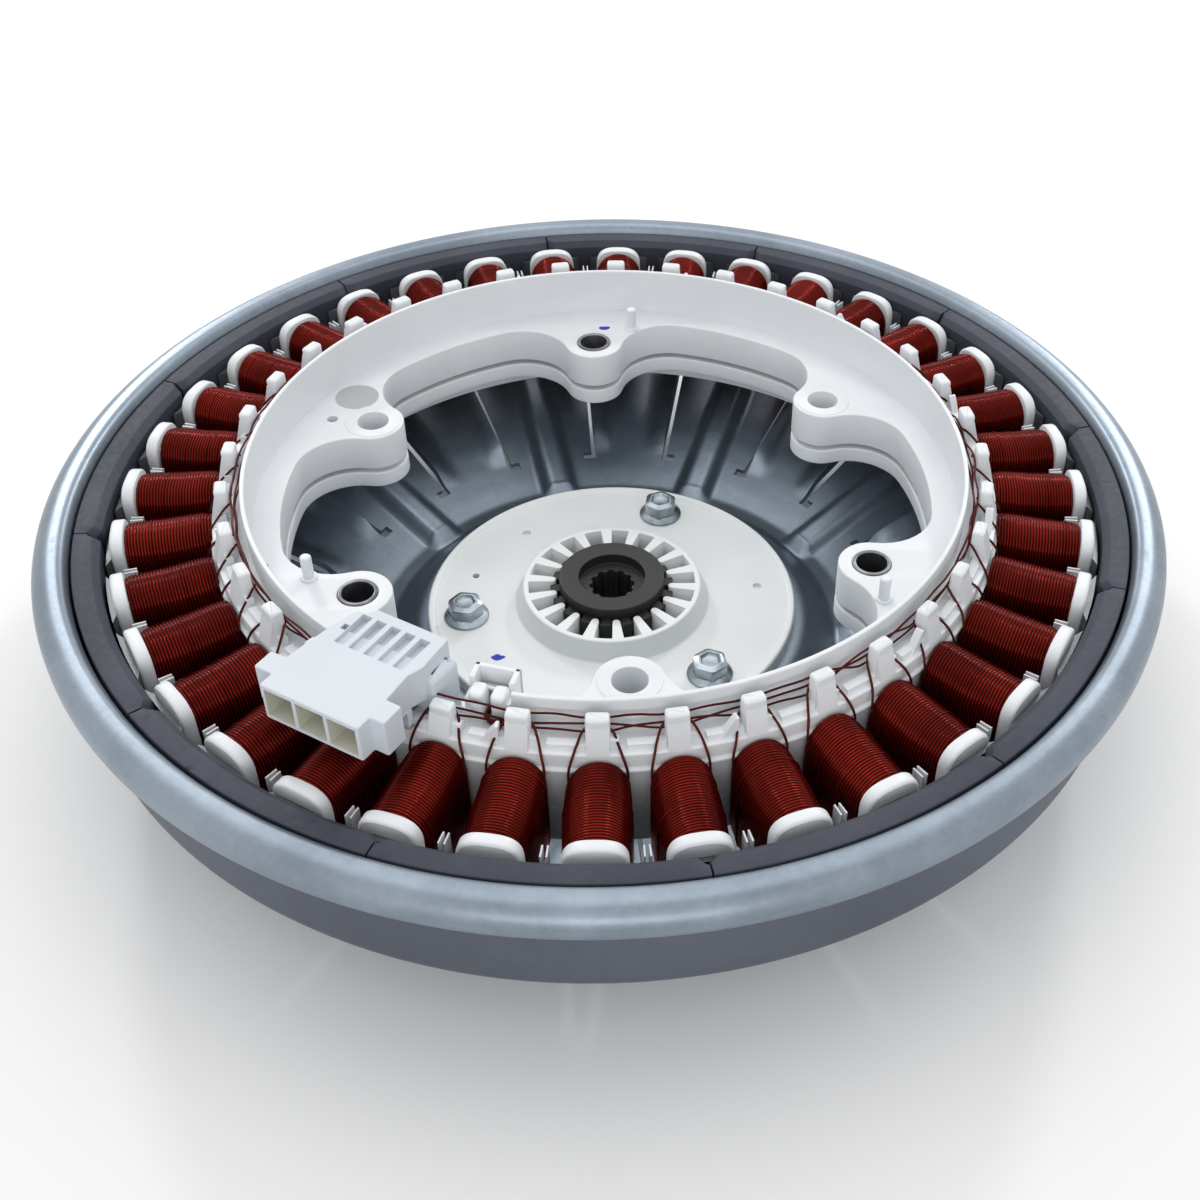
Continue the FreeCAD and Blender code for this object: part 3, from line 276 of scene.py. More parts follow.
FINISHES = {
    # cup: pale and dark tones, then the painted shade of the wall outside under the rim
    "cup": sheet_steel("zinc_sheet_cup", colour(0.295, 0.345, 0.40), colour(0.20, 0.24, 0.285),
                       colour(0.135, 0.15, 0.185), 0.4, 900.0),
    "bolt": worn_steel("zinc_bolt_head", colour(0.44, 0.50, 0.54), colour(0.17, 0.20, 0.225), 0.3),
    "ferrite": ferrite_block(),
    "insulator": moulded("white_insulator", colour(0.79, 0.815, 0.84), colour(0.73, 0.755, 0.78), 0.42,
                         ink_dabs=((-0.0035, 0.0843, 0.0543, 0.0020, 0.0012),)),
    "hub": moulded("off_white_hub", colour(0.81, 0.835, 0.84), colour(0.76, 0.79, 0.795), 0.4,
                   ink_dabs=((-0.0314, -0.0253, 0.0144, 0.0020, 0.0013),)),
    "pocket": moulded("hub_pocket_shade", colour(0.60, 0.60, 0.545), colour(0.54, 0.54, 0.485), 0.5),
    "socket": moulded("socket_lining", colour(0.66, 0.66, 0.56), colour(0.60, 0.60, 0.50), 0.5),
    "connector": moulded("connector_white", colour(0.65, 0.69, 0.74), colour(0.61, 0.65, 0.70), 0.45),
    "bushing": moulded("charcoal_bushing", colour(0.014, 0.013, 0.015), colour(0.024, 0.021, 0.021), 0.5),
    "coil": enamel("red_enamel_turns", colour(0.19, 0.010, 0.006), colour(0.10, 0.004, 0.003),
                   0.2, 0.55, True),
    "lead": enamel("dark_enamel_lead", colour(0.085, 0.015, 0.011), colour(0.045, 0.008, 0.007),
                   0.34, 0.3),
    "core": laminations(),
    "bush": worn_steel("bush_steel_ring", colour(0.30, 0.30, 0.31), colour(0.13, 0.13, 0.14), 0.36),
    "tin": worn_steel("tinned_crimp", colour(0.58, 0.58, 0.57), colour(0.36, 0.36, 0.36), 0.3),
    "patch": moulded("grey_patch", colour(0.46, 0.47, 0.47), colour(0.42, 0.43, 0.43), 0.55),
}


# ---------------------------------------------------------------- mesh helpers

def turned(point, angle):
    c, s = math.cos(math.radians(angle)), math.sin(math.radians(angle))
    return (point[0] * c - point[1] * s, point[0] * s + point[1] * c, point[2])


def polar(radius, angle, height):
    return turned((radius, 0.0, height), angle)


def smooth(low, high, value):
    t = min(1.0, max(0.0, (value - low) / (high - low)))
    return t * t * (3.0 - 2.0 * t)


def arc(cx, cy, radius, start, stop, steps):
    """Points on a circle between two angles, both ends included."""
    return [(cx + radius * math.cos(math.radians(start + (stop - start) * i / steps)),
             cy + radius * math.sin(math.radians(start + (stop - start) * i / steps)))
            for i in range(steps + 1)]


def rounded_path(corners, radii, steps=5, closed=False):
    """Line through corners with an arc of a given radius in place of each corner."""
    path = []
    count = len(corners)
    for i, corner in enumerate(corners):
        radius = radii[i] if isinstance(radii, (list, tuple)) else radii
        if radius <= 0 or (not closed and i in (0, count - 1)):
            path.append(tuple(corner))
            continue
        here = Vector(corner)
        back = (Vector(corners[i - 1]) - here)
        ahead = (Vector(corners[(i + 1) % count]) - here)
        angle = back.angle(ahead)
        trim = min(radius / math.tan(angle / 2), back.length * 0.48, ahead.length * 0.48)
        first = here + back.normalized() * trim
        last = here + ahead.normalized() * trim
        for k in range(steps + 1):
            t = k / steps
            path.append(tuple(first * (1 - t) ** 2 + here * 2 * t * (1 - t) + last * t * t))
    return path


class Form:
    """Points and faces of one piece, in millimetres."""

    def __init__(self, name):
        self.name = name
        self.points, self.faces = [], []

    def add(self, points, faces, place=None):
        base = len(self.points)
        self.points.extend(place(p) if place else p for p in points)
        self.faces.extend([base + i for i in face] for face in faces)
        return self

    def rows(self, rows, closed=False, place=None):
        """Skin over rows of points, each row as long as the next."""
        width = len(rows[0])
        points = [p for row in rows for p in row]
        faces = []
        for r in range(len(rows) - 1):
            for c in range(width if closed else width - 1):
                d = (c + 1) % width
                faces.append([r * width + c, r * width + d, (r + 1) * width + d, (r + 1) * width + c])
        return self.add(points, faces, place)

    def capped(self, rows, place=None, side=1):
        """Rows closed round, with a flat face at each end."""
        order = list(range(len(rows[0])))
        self.rows(rows, True, place)
        self.add(rows[0], [order[::-side]], place)
        return self.add(rows[-1], [order[::side]], place)

    def lathe(self, profile, steps=180, start=0.0, stop=360.0):
        """Profile of (radius, height) turned about the axis."""
        whole = abs(stop - start - 360.0) < 1e-6
        count = steps if whole else steps + 1
        angles = [start + (stop - start) * i / steps for i in range(count)]
        rows = [[polar(radius, angle, height) for angle in angles] for radius, height in profile]
        return self.rows(rows, whole)

    def ring(self, profile, steps=180, start=0.0, stop=360.0):
        """Closed profile turned about the axis, with end faces when it is an arc."""
        self.lathe(list(profile) + [profile[0]], steps, start, stop)
        if abs(stop - start - 360.0) > 1e-6:
            for angle, order in ((start, 1), (stop, -1)):
                cap = [polar(radius, angle, height) for radius, height in profile]
                self.add(cap, [list(range(len(cap)))[::order]])
        return self

    def slab(self, outline, low, high, edge=0.0, steps=2, place=None):
        """Outline in x and y between two heights, with its top edge rounded."""
        def inset(distance):
            made = []
            count = len(outline)
            for i in range(count):
                a, b, c = Vector(outline[i - 1]), Vector(outline[i]), Vector(outline[(i + 1) % count])
                one, two = (b - a).normalized(), (c - b).normalized()
                normal = Vector((-one.y - two.y, one.x + two.x))
                if normal.length < 1e-6:
                    normal = Vector((-one.y, one.x))
                normal.normalize()
                slant = max(0.35, normal.dot(Vector((-one.y, one.x))))
                made.append(b + normal * distance / slant)
            return made
        levels = [(0.0, low)]
        if edge > 0:
            for k in range(steps + 1):
                t = math.pi / 2 * k / steps
                levels.append((edge * (1 - math.cos(t)), high - edge * (1 - math.sin(t))))
        else:
            levels.append((0.0, high))
        return self.capped([[(p.x, p.y, z) for p in inset(d)] for d, z in levels], place)

    def tube(self, path, radius, sides=6):
        """Round wire along a path of points."""
        rows = []
        across = None
        for i, point in enumerate(path):
            here = Vector(point)
            ahead = Vector(path[min(i + 1, len(path) - 1)]) - Vector(path[max(i - 1, 0)])
            ahead.normalize()
            if across is None:
                across = ahead.cross(Vector((0, 0, 1)) if abs(ahead.z) < 0.9 else Vector((1, 0, 0)))
            across = (across - ahead * across.dot(ahead)).normalized()
            up = across.cross(ahead)
            rows.append([tuple(here + (across * math.cos(2 * math.pi * k / sides)
                                       + up * math.sin(2 * math.pi * k / sides)) * radius)
                         for k in range(sides)])
        return self.capped(rows, side=-1)

    def mesh(self, finishes=()):
        mesh = bpy.data.meshes.new(self.name)
        mesh.from_pydata([(x * MM, y * MM, z * MM) for x, y, z in self.points], [], self.faces)
        for finish in finishes:
            mesh.materials.append(FINISHES[finish])
        return mesh

    def cutter(self, *finishes):
        """A bare object of this form, to be cut out of a piece."""
        thing = bpy.data.objects.new(self.name, self.mesh(finishes))
        bpy.context.scene.collection.objects.link(thing)
        return thing

    def make(self, body, slot, finishes, nodes=(), sharp=35.0, sheet=False):
        """The finished piece; a sheet is welded and keeps its sides, a solid is turned outwards."""
        mesh = self.mesh(finishes)
        work = bmesh.new()
        work.from_mesh(mesh)
        if sheet:
            bmesh.ops.remove_doubles(work, verts=work.verts, dist=0.01 * MM)
            bmesh.ops.reverse_faces(work, faces=work.faces)
        else:
            bmesh.ops.recalc_face_normals(work, faces=work.faces)
        work.to_mesh(mesh)
        work.free()
        thing = bpy.data.objects.new(self.name, mesh)
        return settle(thing, body, nodes, sharp)


def smoothed(mesh, sharp=35.0):
    """Smooth shading that stops at edges sharper than an angle."""
    mesh.polygons.foreach_set("use_smooth", [True] * len(mesh.polygons))
    mesh.set_sharp_from_angle(angle=math.radians(sharp))


def worked(thing):
    """A new mesh of an object with its modifiers or bevel worked in."""
    bpy.context.view_layer.update()
    return bpy.data.meshes.new_from_object(thing.evaluated_get(bpy.context.evaluated_depsgraph_get()))


def settle(thing, body, nodes, sharp):
    """Links a piece into the scene, smooths it, hangs it on the body it rides on and hides the frame parts
    it stands for.
    """
    bpy.context.scene.collection.objects.link(thing)
    smoothed(thing.data, sharp)
    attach(thing, body)
    if nodes:
        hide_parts(*nodes)
    return thing


def plate(loops, low, high, edge, fine=2):
    """Points and faces of a flat plate between two heights; the first loop is its outside."""
    drawing = bpy.data.curves.new("plate_drawing", "CURVE")
    drawing.dimensions = "2D"
    drawing.fill_mode = "BOTH"
    for loop in loops:
        line = drawing.splines.new("POLY")
        line.points.add(len(loop) - 1)
        line.use_cyclic_u = True
        for point, (x, y) in zip(line.points, loop):
            point.co = (x, y, 0.0, 1.0)
    drawing.extrude = (high - low) / 2 - edge
    drawing.bevel_depth = edge
    drawing.bevel_resolution = fine
    drawing.offset = -edge
    carrier = bpy.data.objects.new("plate_carrier", drawing)
    bpy.context.scene.collection.objects.link(carrier)
    mesh = worked(carrier)
    points = [(v.co.x, v.co.y, v.co.z + (low + high) / 2) for v in mesh.vertices]
    faces = [list(p.vertices) for p in mesh.polygons]
    bpy.data.objects.remove(carrier)
    bpy.data.curves.remove(drawing)
    bpy.data.meshes.remove(mesh)
    return points, faces


def circle(radius, cx=0.0, cy=0.0, steps=48):
    return arc(cx, cy, radius, 0.0, 360.0, steps)[:-1]


def hole_at(radius, at, angle, steps=48):
    """Circle round a point given by its distance from the axis and its angle."""
    x, y, _ = polar(at, angle, 0)
    return circle(radius, x, y, steps)


def carve(thing, cutters):
    """Cuts simple solids out of a piece and leaves plain mesh."""
    for cutter in cutters:
        change = thing.modifiers.new("cut", "BOOLEAN")
        change.operation = "DIFFERENCE"
        change.solver = "EXACT"
        change.object = cutter
    mesh = worked(thing)
    thing.modifiers.clear()
    thing.data = mesh
    for cutter in cutters:
        bpy.data.objects.remove(cutter)
    smoothed(mesh)


def block(name, corners_low, corners_high, finish, place):
    """Box between two corners, used to cut."""
    (x0, y0, z0), (x1, y1, z1) = corners_low, corners_high
    form = Form(name)
    form.add([(x, y, z) for z in (z0, z1) for x, y in ((x0, y0), (x1, y0), (x1, y1), (x0, y1))],
             [(3, 2, 1, 0), (4, 5, 6, 7), (0, 1, 5, 4), (1, 2, 6, 5), (2, 3, 7, 6), (3, 0, 4, 7)], place)
    return form.cutter(finish)


# ---------------------------------------------------------------- rotor

def rotor_cup():
    """Pressed cup: hub seat, coned floor with ribs and louvres, wall and rolled rim."""
    form = Form("cup_shell")
    centre = rounded_path([(30, 11.4), (56, 11.4), (65.5, 2.0), (71, 2.0), (134.5, 25.13)],
                          [0, 4.5, 4.0, 6.0, 0], steps=7)

    def height(radius):
        for (r0, z0), (r1, z1) in zip(centre, centre[1:]):
            if r0 <= radius <= r1:
                return z0 + (z1 - z0) * (radius - r0) / max(1e-9, r1 - r0)
        return centre[-1][1]

    radii = [p[0] for p in centre[:-1]]
    radii += [72.5 + 1.6 * i for i in range(6)] + [SLOT_FROM, 83.0, 84.2]
    radii += [86.0 + 2.6 * i for i in range(13)] + [SLOT_TO, 120.4, 122.0, 124.0, 127.0, 130.0, 134.5]
    radii.sort()
    lateral = [0.0, 1.1, 2.2, 3.2, 4.0, 4.7, 5.4, 6.1, 6.9, 7.8]
    edge = SECTOR / 2
    from_slot = [-3.6, -2.2, -1.0, 0.5, 4.4, 5.8]
    strip_rise = [0.0, 0.0, 0.0, 2.8, 1.5, 0.0]

    def rib(radius, side):
        section = 1.0 - smooth(2.2, 6.9, abs(side))
        inner = 65.6 + 0.028 * side * side
        return 3.6 * section * smooth(inner, inner + 5.2, radius) * (1 - smooth(112.0, 121.0, radius))

    def angles(radius):
        """Half-sector column angles: rib columns, slot columns, sector edge."""
        near = max(radius, 62.0)
        ribs = [math.degrees(math.asin(min(0.99, w / near))) for w in lateral]
        wanted = [SLOT_AXIS + math.degrees(math.asin(w / max(radius, 78.0))) for w in from_slot]
        last = ribs[-1]
        plain = [last + (edge - last) * (i + 1) / (len(wanted) + 1) for i in range(len(wanted))]
        t = smooth(70.0, 80.0, radius)
        slots = [p + (w - p) * t for p, w in zip(plain, wanted)]
        half = ribs + slots + [slots[-1] + (edge - slots[-1]) * 0.5]
        return [-a for a in half[:0:-1]] + half + [edge]

    rows = []
    half_rise = [0.0] * len(lateral) + strip_rise + [0.0]
    lifts = half_rise[:0:-1] + half_rise + [0.0]
    for radius in radii:
        row = []
        along = smooth(84.1, 90.0, radius) * (1 - smooth(113.0, 119.1, radius))
        for k in range(RIBS):
            for angle, lift in zip(angles(radius), lifts):
                side = radius * math.sin(math.radians(angle))
                z = height(radius) + rib(radius, side) + lift * along
                row.append(polar(radius, RIB_PHASE + SECTOR * k + angle, z))
        rows.append(row)
    width = len(rows[0])
    per = width // RIBS
    middle = len(lateral) + len(from_slot)
    first_slot = middle + len(lateral)
    open_cells = set()
    for r, (radius, upper) in enumerate(zip(radii, radii[1:])):
        if radius < SLOT_FROM or upper > SLOT_TO:
            continue
        # the slot, and its foot turned towards the rib
        for cell in (0, 1, 2) if upper < 85.0 else (2,):
            for k in range(RIBS):
                open_cells.add((r, k * per + first_slot + cell))
                open_cells.add((r, k * per + 2 * middle - first_slot - 1 - cell))
    form.rows(rows, closed=True)
    form.faces = [face for number, face in enumerate(form.faces) if divmod(number, width) not in open_cells]

    wall = rounded_path([(134.5, 25.13), (141.0, 27.5), (141.0, 55.0)], [0, 3.4, 0], steps=6)
    wall = wall[:-1] + [(141.0, 36.0), (141.0, 45.0)]
    roll = [(140.95, 52.0), (140.6, 57.4), (141.9, 60.35), (146.4, 60.4), (149.79, 57.6), (149.7, 52.4),
            (147.4, 50.3), (145.6, 50.3)]
    wall += rounded_path(roll, [0, 2.0, 3.2, 4.6, 5.0, 3.0, 1.0, 0], steps=6)
    form.lathe(wall, 288)
    thing = form.make("rotor", "zinc_sheet", ["cup"], ["rotor_cup"], sharp=50.0, sheet=True)
    shell = thing.modifiers.new("sheet", "SOLIDIFY")
    shell.thickness = SHEET * MM
    shell.offset = -1.0
    mesh = worked(thing)
    thing.modifiers.clear()
    thing.data = mesh
    smoothed(mesh, 50.0)


def magnets():
    """Twelve arc blocks glued to the wall, chamfered inside, their inner edges broken at the joints."""
    inner, outer, low, high = 133.2, 139.95, 30.0, 58.2
    corners = [(inner, low), (outer, low), (outer, high), (inner + 1.8, high), (inner, high - 1.7)]
    section = rounded_path(corners, [0.5, 0.3, 0.4, 0.35, 0.35], steps=3, closed=True)
    share = 360.0 / MAGNETS
    span = share / 2 - math.degrees(math.asin(0.24 / inner))
    steps = 48
    for number in range(MAGNETS):
        form = Form(f"ferrite_{number + 1:02d}")
        middle = MAGNET_PHASE + share * (number + 0.5)
        rng = random.Random(number)
        broken = [rng.uniform(1.0, 2.1), rng.uniform(1.0, 2.1)]
        wear = rng.uniform(0.0, 0.1)
        rows = []
        for i in range(steps + 1):
            t = -1 + 2 * i / steps
            t = math.copysign(abs(t) ** 0.6, t)
            angle = middle + span * t
            gap = (1 - abs(t)) * span * math.radians(inner)
            cut = broken[t > 0] * (1 - smooth(0.0, 2.2, gap))
            row = []
            for radius, height in section:
                if radius < inner + 2.6:
                    radius += cut
                if height > 50:
                    height -= wear + 0.5 * cut * (1 - smooth(inner + 1.0, inner + 4.5, radius))
                row.append(polar(radius, angle, height))
            rows.append(row)
        form.capped(rows, side=-1)
        form.make("rotor", "ferrite", ["ferrite"], [f"magnet_{number + 1:02d}"])


def rotor_hub():
    """Moulded disc with an edge lip, small holes and a collar of pockets round the bushing."""
    form = Form("hub_moulding")
    seat, top, collar = HUB_SEAT, HUB_TOP, 20.5
    disc = [(53.2, seat), (53.2, 14.7), (52.8, 15.1), (51.7, 15.1), (51.2, 14.75), (50.9, 14.45)]
    disc += [(radius, top) for radius in (50.3, 46.0, 40.0, 34.0, 29.4)]
    side = rounded_path([(29.4, top), (27.9, top), (25.6, collar), (24.0, collar)], [0, 0.9, 0.8, 0],
                        steps=6)
    form.lathe(disc + side[1:-1] + [(24.6, collar - 0.02)], 200)
    form.ring([(15.35, 4.0), (27.6, 4.0), (27.6, seat), (53.2, seat), (53.2, seat + 0.5), (23.0, seat + 0.5),
               (15.35, 13.2)], 144)
    # comb of gussets between the pockets
    comb = []
    for k in range(18):
        pocket = HUB_PHASE + 20.0 * k
        outer = 24.1
        wide = math.degrees(math.asin(2.55 / outer))
        for step in (-1, -0.5, 0, 0.5, 1):
            comb.append(polar(outer, pocket + wide * step, 0)[:2])
        tip_radius, tip_centre = 1.1, 17.4
        for turn_by in range(-90, 91, 22):
            local = (tip_centre - tip_radius * math.cos(math.radians(turn_by)),
                     tip_radius * math.sin(math.radians(turn_by)), 0)
            comb.append(turned(local, pocket + 10.0)[:2])
    form.add(*plate([circle(24.9, steps=144), comb], 12.6, collar, 0.2, 1))
    thing = form.make("rotor", "hub_plastic", ["hub", "pocket"], ["rotor_hub"], sharp=32.0)
    cutters = []
    for at, angle, wide, low in ((40.6, 131.5, 1.3, 13.3), (42.9, 7.1, 1.3, 13.3),
                                 (41.8, 166.0, 1.05, 11.6)):
        cutters.append(Form("small_hole").slab(hole_at(wide, at, angle, 20), low, 20.0).cutter())
    carve(thing, cutters)
    # painted shadow: a dark disc inside the small hole stands in for the shade deep in it
    shade = Form("hub_hole_shade").slab(hole_at(1.0, 41.8, 166.0, 20), 11.5, 13.0)
    shade.make("rotor", "bushing_plastic", ["bushing"])
    floor = Form("hub_pocket_floor")
    floor.ring([(15.3, 12.5), (24.6, 12.5), (24.6, 13.3), (15.3, 13.3)], 90)
    floor.make("rotor", "hub_plastic", ["pocket"])


def spline_bushing():
    """Dark bushing: smooth top, teeth round its outside, splines and a nut recess inside."""
    form = Form("bushing")
    profile = rounded_path([(6.6, 5.0), (15.2, 5.0), (15.2, 23.0), (9.6, 23.0), (9.6, 19.7), (6.6, 19.7)],
                           [0, 0.4, 0.45, 0.3, 0.3, 0], steps=5)
    form.lathe(profile, 96)
    teeth = []
    for k in range(18):
        angle = HUB_PHASE + 20.0 * k
        for radius, across in ((14.6, -1.75), (17.75, -1.6), (17.8, 0.0), (17.75, 1.6), (14.6, 1.75)):
            teeth.append(turned((math.sqrt(radius ** 2 - across ** 2), across, 0), angle)[:2])
    form.add(*plate([teeth, circle(14.9, steps=72)], 13.4, 19.6, 0.25, 1))
    splines = []
    for k in range(12):
        angle = HUB_PHASE + 30.0 * k
        for radius, across in ((5.8, -0.95), (6.5, -0.75), (6.5, 0.75), (5.8, 0.95)):
            splines.append(turned((radius, across, 0), angle)[:2])
    form.add(*plate([circle(7.4, steps=72), splines], 5.0, 19.68, 0.12, 1))
    form.make("rotor", "bushing_plastic", ["bushing"], ["spline_bushing"])


def hub_bolts():
    """Three flanged bolts with dished hexagon heads, each turned its own way."""
    form = Form("bolts")
    seat, corner = HUB_TOP, 4.97
    for number, spin in enumerate((13.0, 41.0, 27.0)):
        angle = BOLT_PHASE + 120.0 * number
        hexagon = []
        for i in range(6):
            a = 60.0 * i + spin
            for turn_by in (-6.0, 0.0, 6.0):
                hexagon.append(polar(corner - (0.07 if turn_by else 0.0), a + turn_by, 0)[:2])

        def put(point):
            return turned((point[0] + BOLT_CIRCLE, point[1], point[2]), angle)

        flange = rounded_path([(3.0, seat), (6.4, seat), (6.4, seat + 0.6), (4.6, seat + 1.75)],
                              [0, 0.2, 0.35, 0.3], steps=4)
        form.rows([[polar(radius, 7.5 * k, z) for k in range(48)] for radius, z in flange], True, put)
        ring_rows = []
        for level, pull in ((seat + 0.9, 1.0), (seat + 4.6, 1.0), (seat + 5.15, 0.965), (seat + 5.55, 0.88),
                            (seat + 5.75, 0.78), (seat + 5.8, 0.70)):
            row = []
            for i, (x, y) in enumerate(hexagon):
                reach = math.hypot(x, y)
                scale = min(1.0, corner * pull / reach) if pull < 1 else 1.0
                if pull < 0.9:
                    scale = 4.5 * pull / reach
                row.append((x * scale, y * scale, level))
            ring_rows.append(row)
        for radius, depth in ((2.95, 5.75), (2.7, 5.3), (2.3, 4.9), (1.2, 4.75), (0.01, 4.7)):
            ring_rows.append([(radius * x / math.hypot(x, y), radius * y / math.hypot(x, y), seat + depth)
                              for x, y in hexagon])
        form.rows(ring_rows, True, put)
        shank = ((0.01, 6.4), (3.0, 6.4), (3.0, seat + 0.1))
        form.rows([[polar(radius, 15.0 * k, z) for k in range(24)] for radius, z in shank], True, put)
    form.make("rotor", "zinc_bolt", ["bolt"], ["hub_bolts"], sharp=28.0)


# ---------------------------------------------------------------- stator

def lobe_loop():
    """Inner outline of the ring: six lobes, each flared into the ring by arcs."""
    reach = RING_IN - FLARE
    spread = LOBE_R + FLARE
    fan = math.degrees(math.acos((reach ** 2 + LOBE_AT ** 2 - spread ** 2) / (2 * reach * LOBE_AT)))
    cx, cy = reach * math.cos(math.radians(fan)), reach * math.sin(math.radians(fan))
    to_lobe = math.degrees(math.atan2(-cy, LOBE_AT - cx))
    loop = []
    for at in LOBES:
        local = arc(cx, -cy, FLARE, -fan, -to_lobe, 10)
        touch = math.degrees(math.atan2(-cy, cx - LOBE_AT))
        local += arc(LOBE_AT, 0, LOBE_R, touch % 360 - 360, -(touch % 360), 22)[1:-1]
        local += arc(cx, cy, FLARE, to_lobe, fan, 10)
        local += arc(0, 0, RING_IN, fan, 60.0 - fan, 8)[1:-1]
        loop += [turned((x, y, 0), at)[:2] for x, y in local]
    return loop


def hole_loops():
    return [hole_at(PLAIN_HOLE if at in PLAIN else BUSH_HOLE, LOBE_AT, at, 40) for at in LOBES]


def peg(form, angle, top):
    """Upright peg with rounded edges and a slope down its front to the ledge."""
    def put(point):
        return turned(point, angle)
    outline = rounded_path([(99.8, -2.75), (103.1, -2.75), (103.1, 2.75), (99.8, 2.75)], 0.9,
                           steps=3, closed=True)
    form.slab(outline, LEDGE, top, edge=0.8, steps=3, place=put)
    slope = [(102.4, -2.6, LEDGE), (105.0, -2.6, LEDGE), (103.05, -2.6, 66.0 + top - WALL_TOP),
             (102.4, -2.6, 66.0 + top - WALL_TOP)]
    far = [(x, -y, z) for x, y, z in slope]
    sides = [[i, i + 4, (i + 1) % 4 + 4, (i + 1) % 4] for i in range(4)]
    form.add(slope + far, [[0, 1, 2, 3], [7, 6, 5, 4]] + sides, put)


def flange_outline(half, low, high, power=2.9, steps=20):
    """Arch between two feet, squarer than an ellipse."""
    outline = []
    for i in range(steps + 1):
        t = math.pi * i / steps
        across, up = math.cos(t), abs(math.sin(t))
        outline.append((math.copysign(abs(across) ** (2 / power), across) * half,
                        low + up ** (2 / power) * (high - low)))
    return outline


def end_flange(form, angle, upward=True):
    """Rounded end plate of a coil seat, thick and soft-edged."""
    sign = 1.0 if upward else -1.0
    tip, shoulder, foot = (58.0, 51.2, 43.7) if upward else (27.0, 34.4, 42.0)
    outline = [(y, shoulder + sign * z) for y, z in flange_outline(FLANGE_HALF, 0.0, abs(tip - shoulder))]
    outline = [(FLANGE_HALF, foot)] + outline + [(-FLANGE_HALF, foot)]
    rows = []
    for depth, pull in ((127.6, 0.5), (127.75, 0.18), (128.1, 0.0), (130.3, 0.0), (130.75, 0.2),
                        (131.0, 0.6)):
        rows.append([(depth, y * (FLANGE_HALF - pull) / FLANGE_HALF,
                      z - sign * pull * max(0.0, sign * (z - shoulder)) / 7.0) for y, z in outline])

    def put(point):
        return turned(point, angle)
    form.capped(rows, put)
    if not upward:
        return
    # two soft lugs low on the outer face
    for across in (-3.4, 3.4):
        bulge = []
        for pull, depth in ((1.0, 130.9), (0.92, 131.6), (0.7, 131.95), (0.35, 132.15)):
            bulge.append([(depth, across + 1.7 * pull * math.cos(math.radians(a)),
                           51.6 + 1.5 * pull * math.sin(math.radians(a))) for a in range(0, 360, 30)])
        form.rows(bulge, closed=True, place=put)
        form.add(bulge[-1], [list(range(12))], place=put)


def from_connector(angle):
    """Degrees between a tooth and the connector."""
    return abs((angle - CONNECTOR_AT + 180) % 360 - 180)


def upper_insulator():
    """Upper moulding: lobed ring, wall, ledge with pegs, tooth covers, end plates, pins, box."""
    form = Form("insulator_upper")
    loops = [circle(97.1, steps=240), lobe_loop()] + hole_loops()
    form.add(*plate(loops, 43.6, RING_TOP, 0.45))
    low, inside, outside = 53.9, 95.4, 96.6
    wall = rounded_path([(inside, low), (inside, WALL_TOP), (outside, WALL_TOP), (outside, low)],
                        [0, 0.4, 0.4, 0], steps=3)
    form.ring(wall, 220, start=WALL_FROM, stop=WALL_TO)
    low_wall = [(inside, low), (inside, 60.0), (outside, 60.0), (outside, low)]
    form.ring(low_wall, 24, start=WALL_TO, stop=360.0 + WALL_FROM)
    shelf = rounded_path([(96.0, 53.6), (96.0, 59.3), (105.0, 59.3), (105.0, 55.3), (105.9, 54.9),
                          (105.9, 54.2), (105.2, 54.0), (105.2, 42.1), (104.1, 42.1), (104.1, 53.6)],
                         [0, 0.2, 0.5, 0.3, 0.3, 0.2, 0.2, 0.1, 0.1, 0], steps=3)
    form.ring(shelf, 216)
    # raised land on the ledge that runs up to the next peg, with a step before it
    land, step = (rounded_path([(x0, LEDGE), (x0, top), (x1, top), (x1, LEDGE)], [0, soft, soft, 0], steps=2)
                  for x0, x1, top, soft in ((101.0, 103.4, 60.8, 0.35), (100.9, 102.9, 61.9, 0.3)))
    for k in range(TEETH):
        angle = k * PITCH
        away = from_connector(angle)
        peg(form, angle, 64.3 if away < 5 else (66.4 if away < 12 and angle > 245 else WALL_TOP))
        end_flange(form, angle)
        form.ring(land, 6, start=angle + 3.6, stop=angle + PITCH - 1.5)
        form.ring(step, 3, start=angle + 1.3, stop=angle + 2.6)
        if (angle - 20.0) % 30.0 < 1.0 and away > 12:
            wedge_rib(form, angle)
        tooth_cover(form, angle, 53.56, 54.75)
        liner_fins(form, angle, 43.7, 52.4)
    for at in PLAIN:
        form.add(*plate([hole_at(8.0, LOBE_AT, at), hole_at(PLAIN_HOLE, LOBE_AT, at, 40)], 54.0, 54.5, 0.15))
    for at in BUSHED:
        form.slab(hole_at(1.45, PIN_CIRCLE, at - PIN_LAG, 24), 54.2, 61.3, edge=0.5, steps=3)
        form.slab(hole_at(2.3, PIN_CIRCLE, at - PIN_LAG, 24), 54.2, 54.9, edge=0.3)
    neutral_box(form)
    thing = form.make("stator", "insulator_plastic", ["insulator", "bushing"], ["upper_insulator"])
    hole = Form("small_ring_hole").slab(hole_at(1.6, 87.5, 157.6, 24), 50.5, 58.0).cutter()
    # painted shade: this cutter carries the charcoal finish for the inside of the notch
    notch = block("wall_foot_notch", (92.9, -1.3, 52.2), (94.3, 1.3, 58.0), "bushing",
                  lambda p: turned(p, -158.7))
    carve(thing, [hole, notch])


def tooth_cover(form, angle, low, high):
    """Flat skin between a tooth and its coil."""
    cover = [(104.8, -4.7), (128.0, -4.7), (128.0, 4.7), (104.8, 4.7)]
    form.slab(cover, low, high, place=lambda p: turned(p, angle))


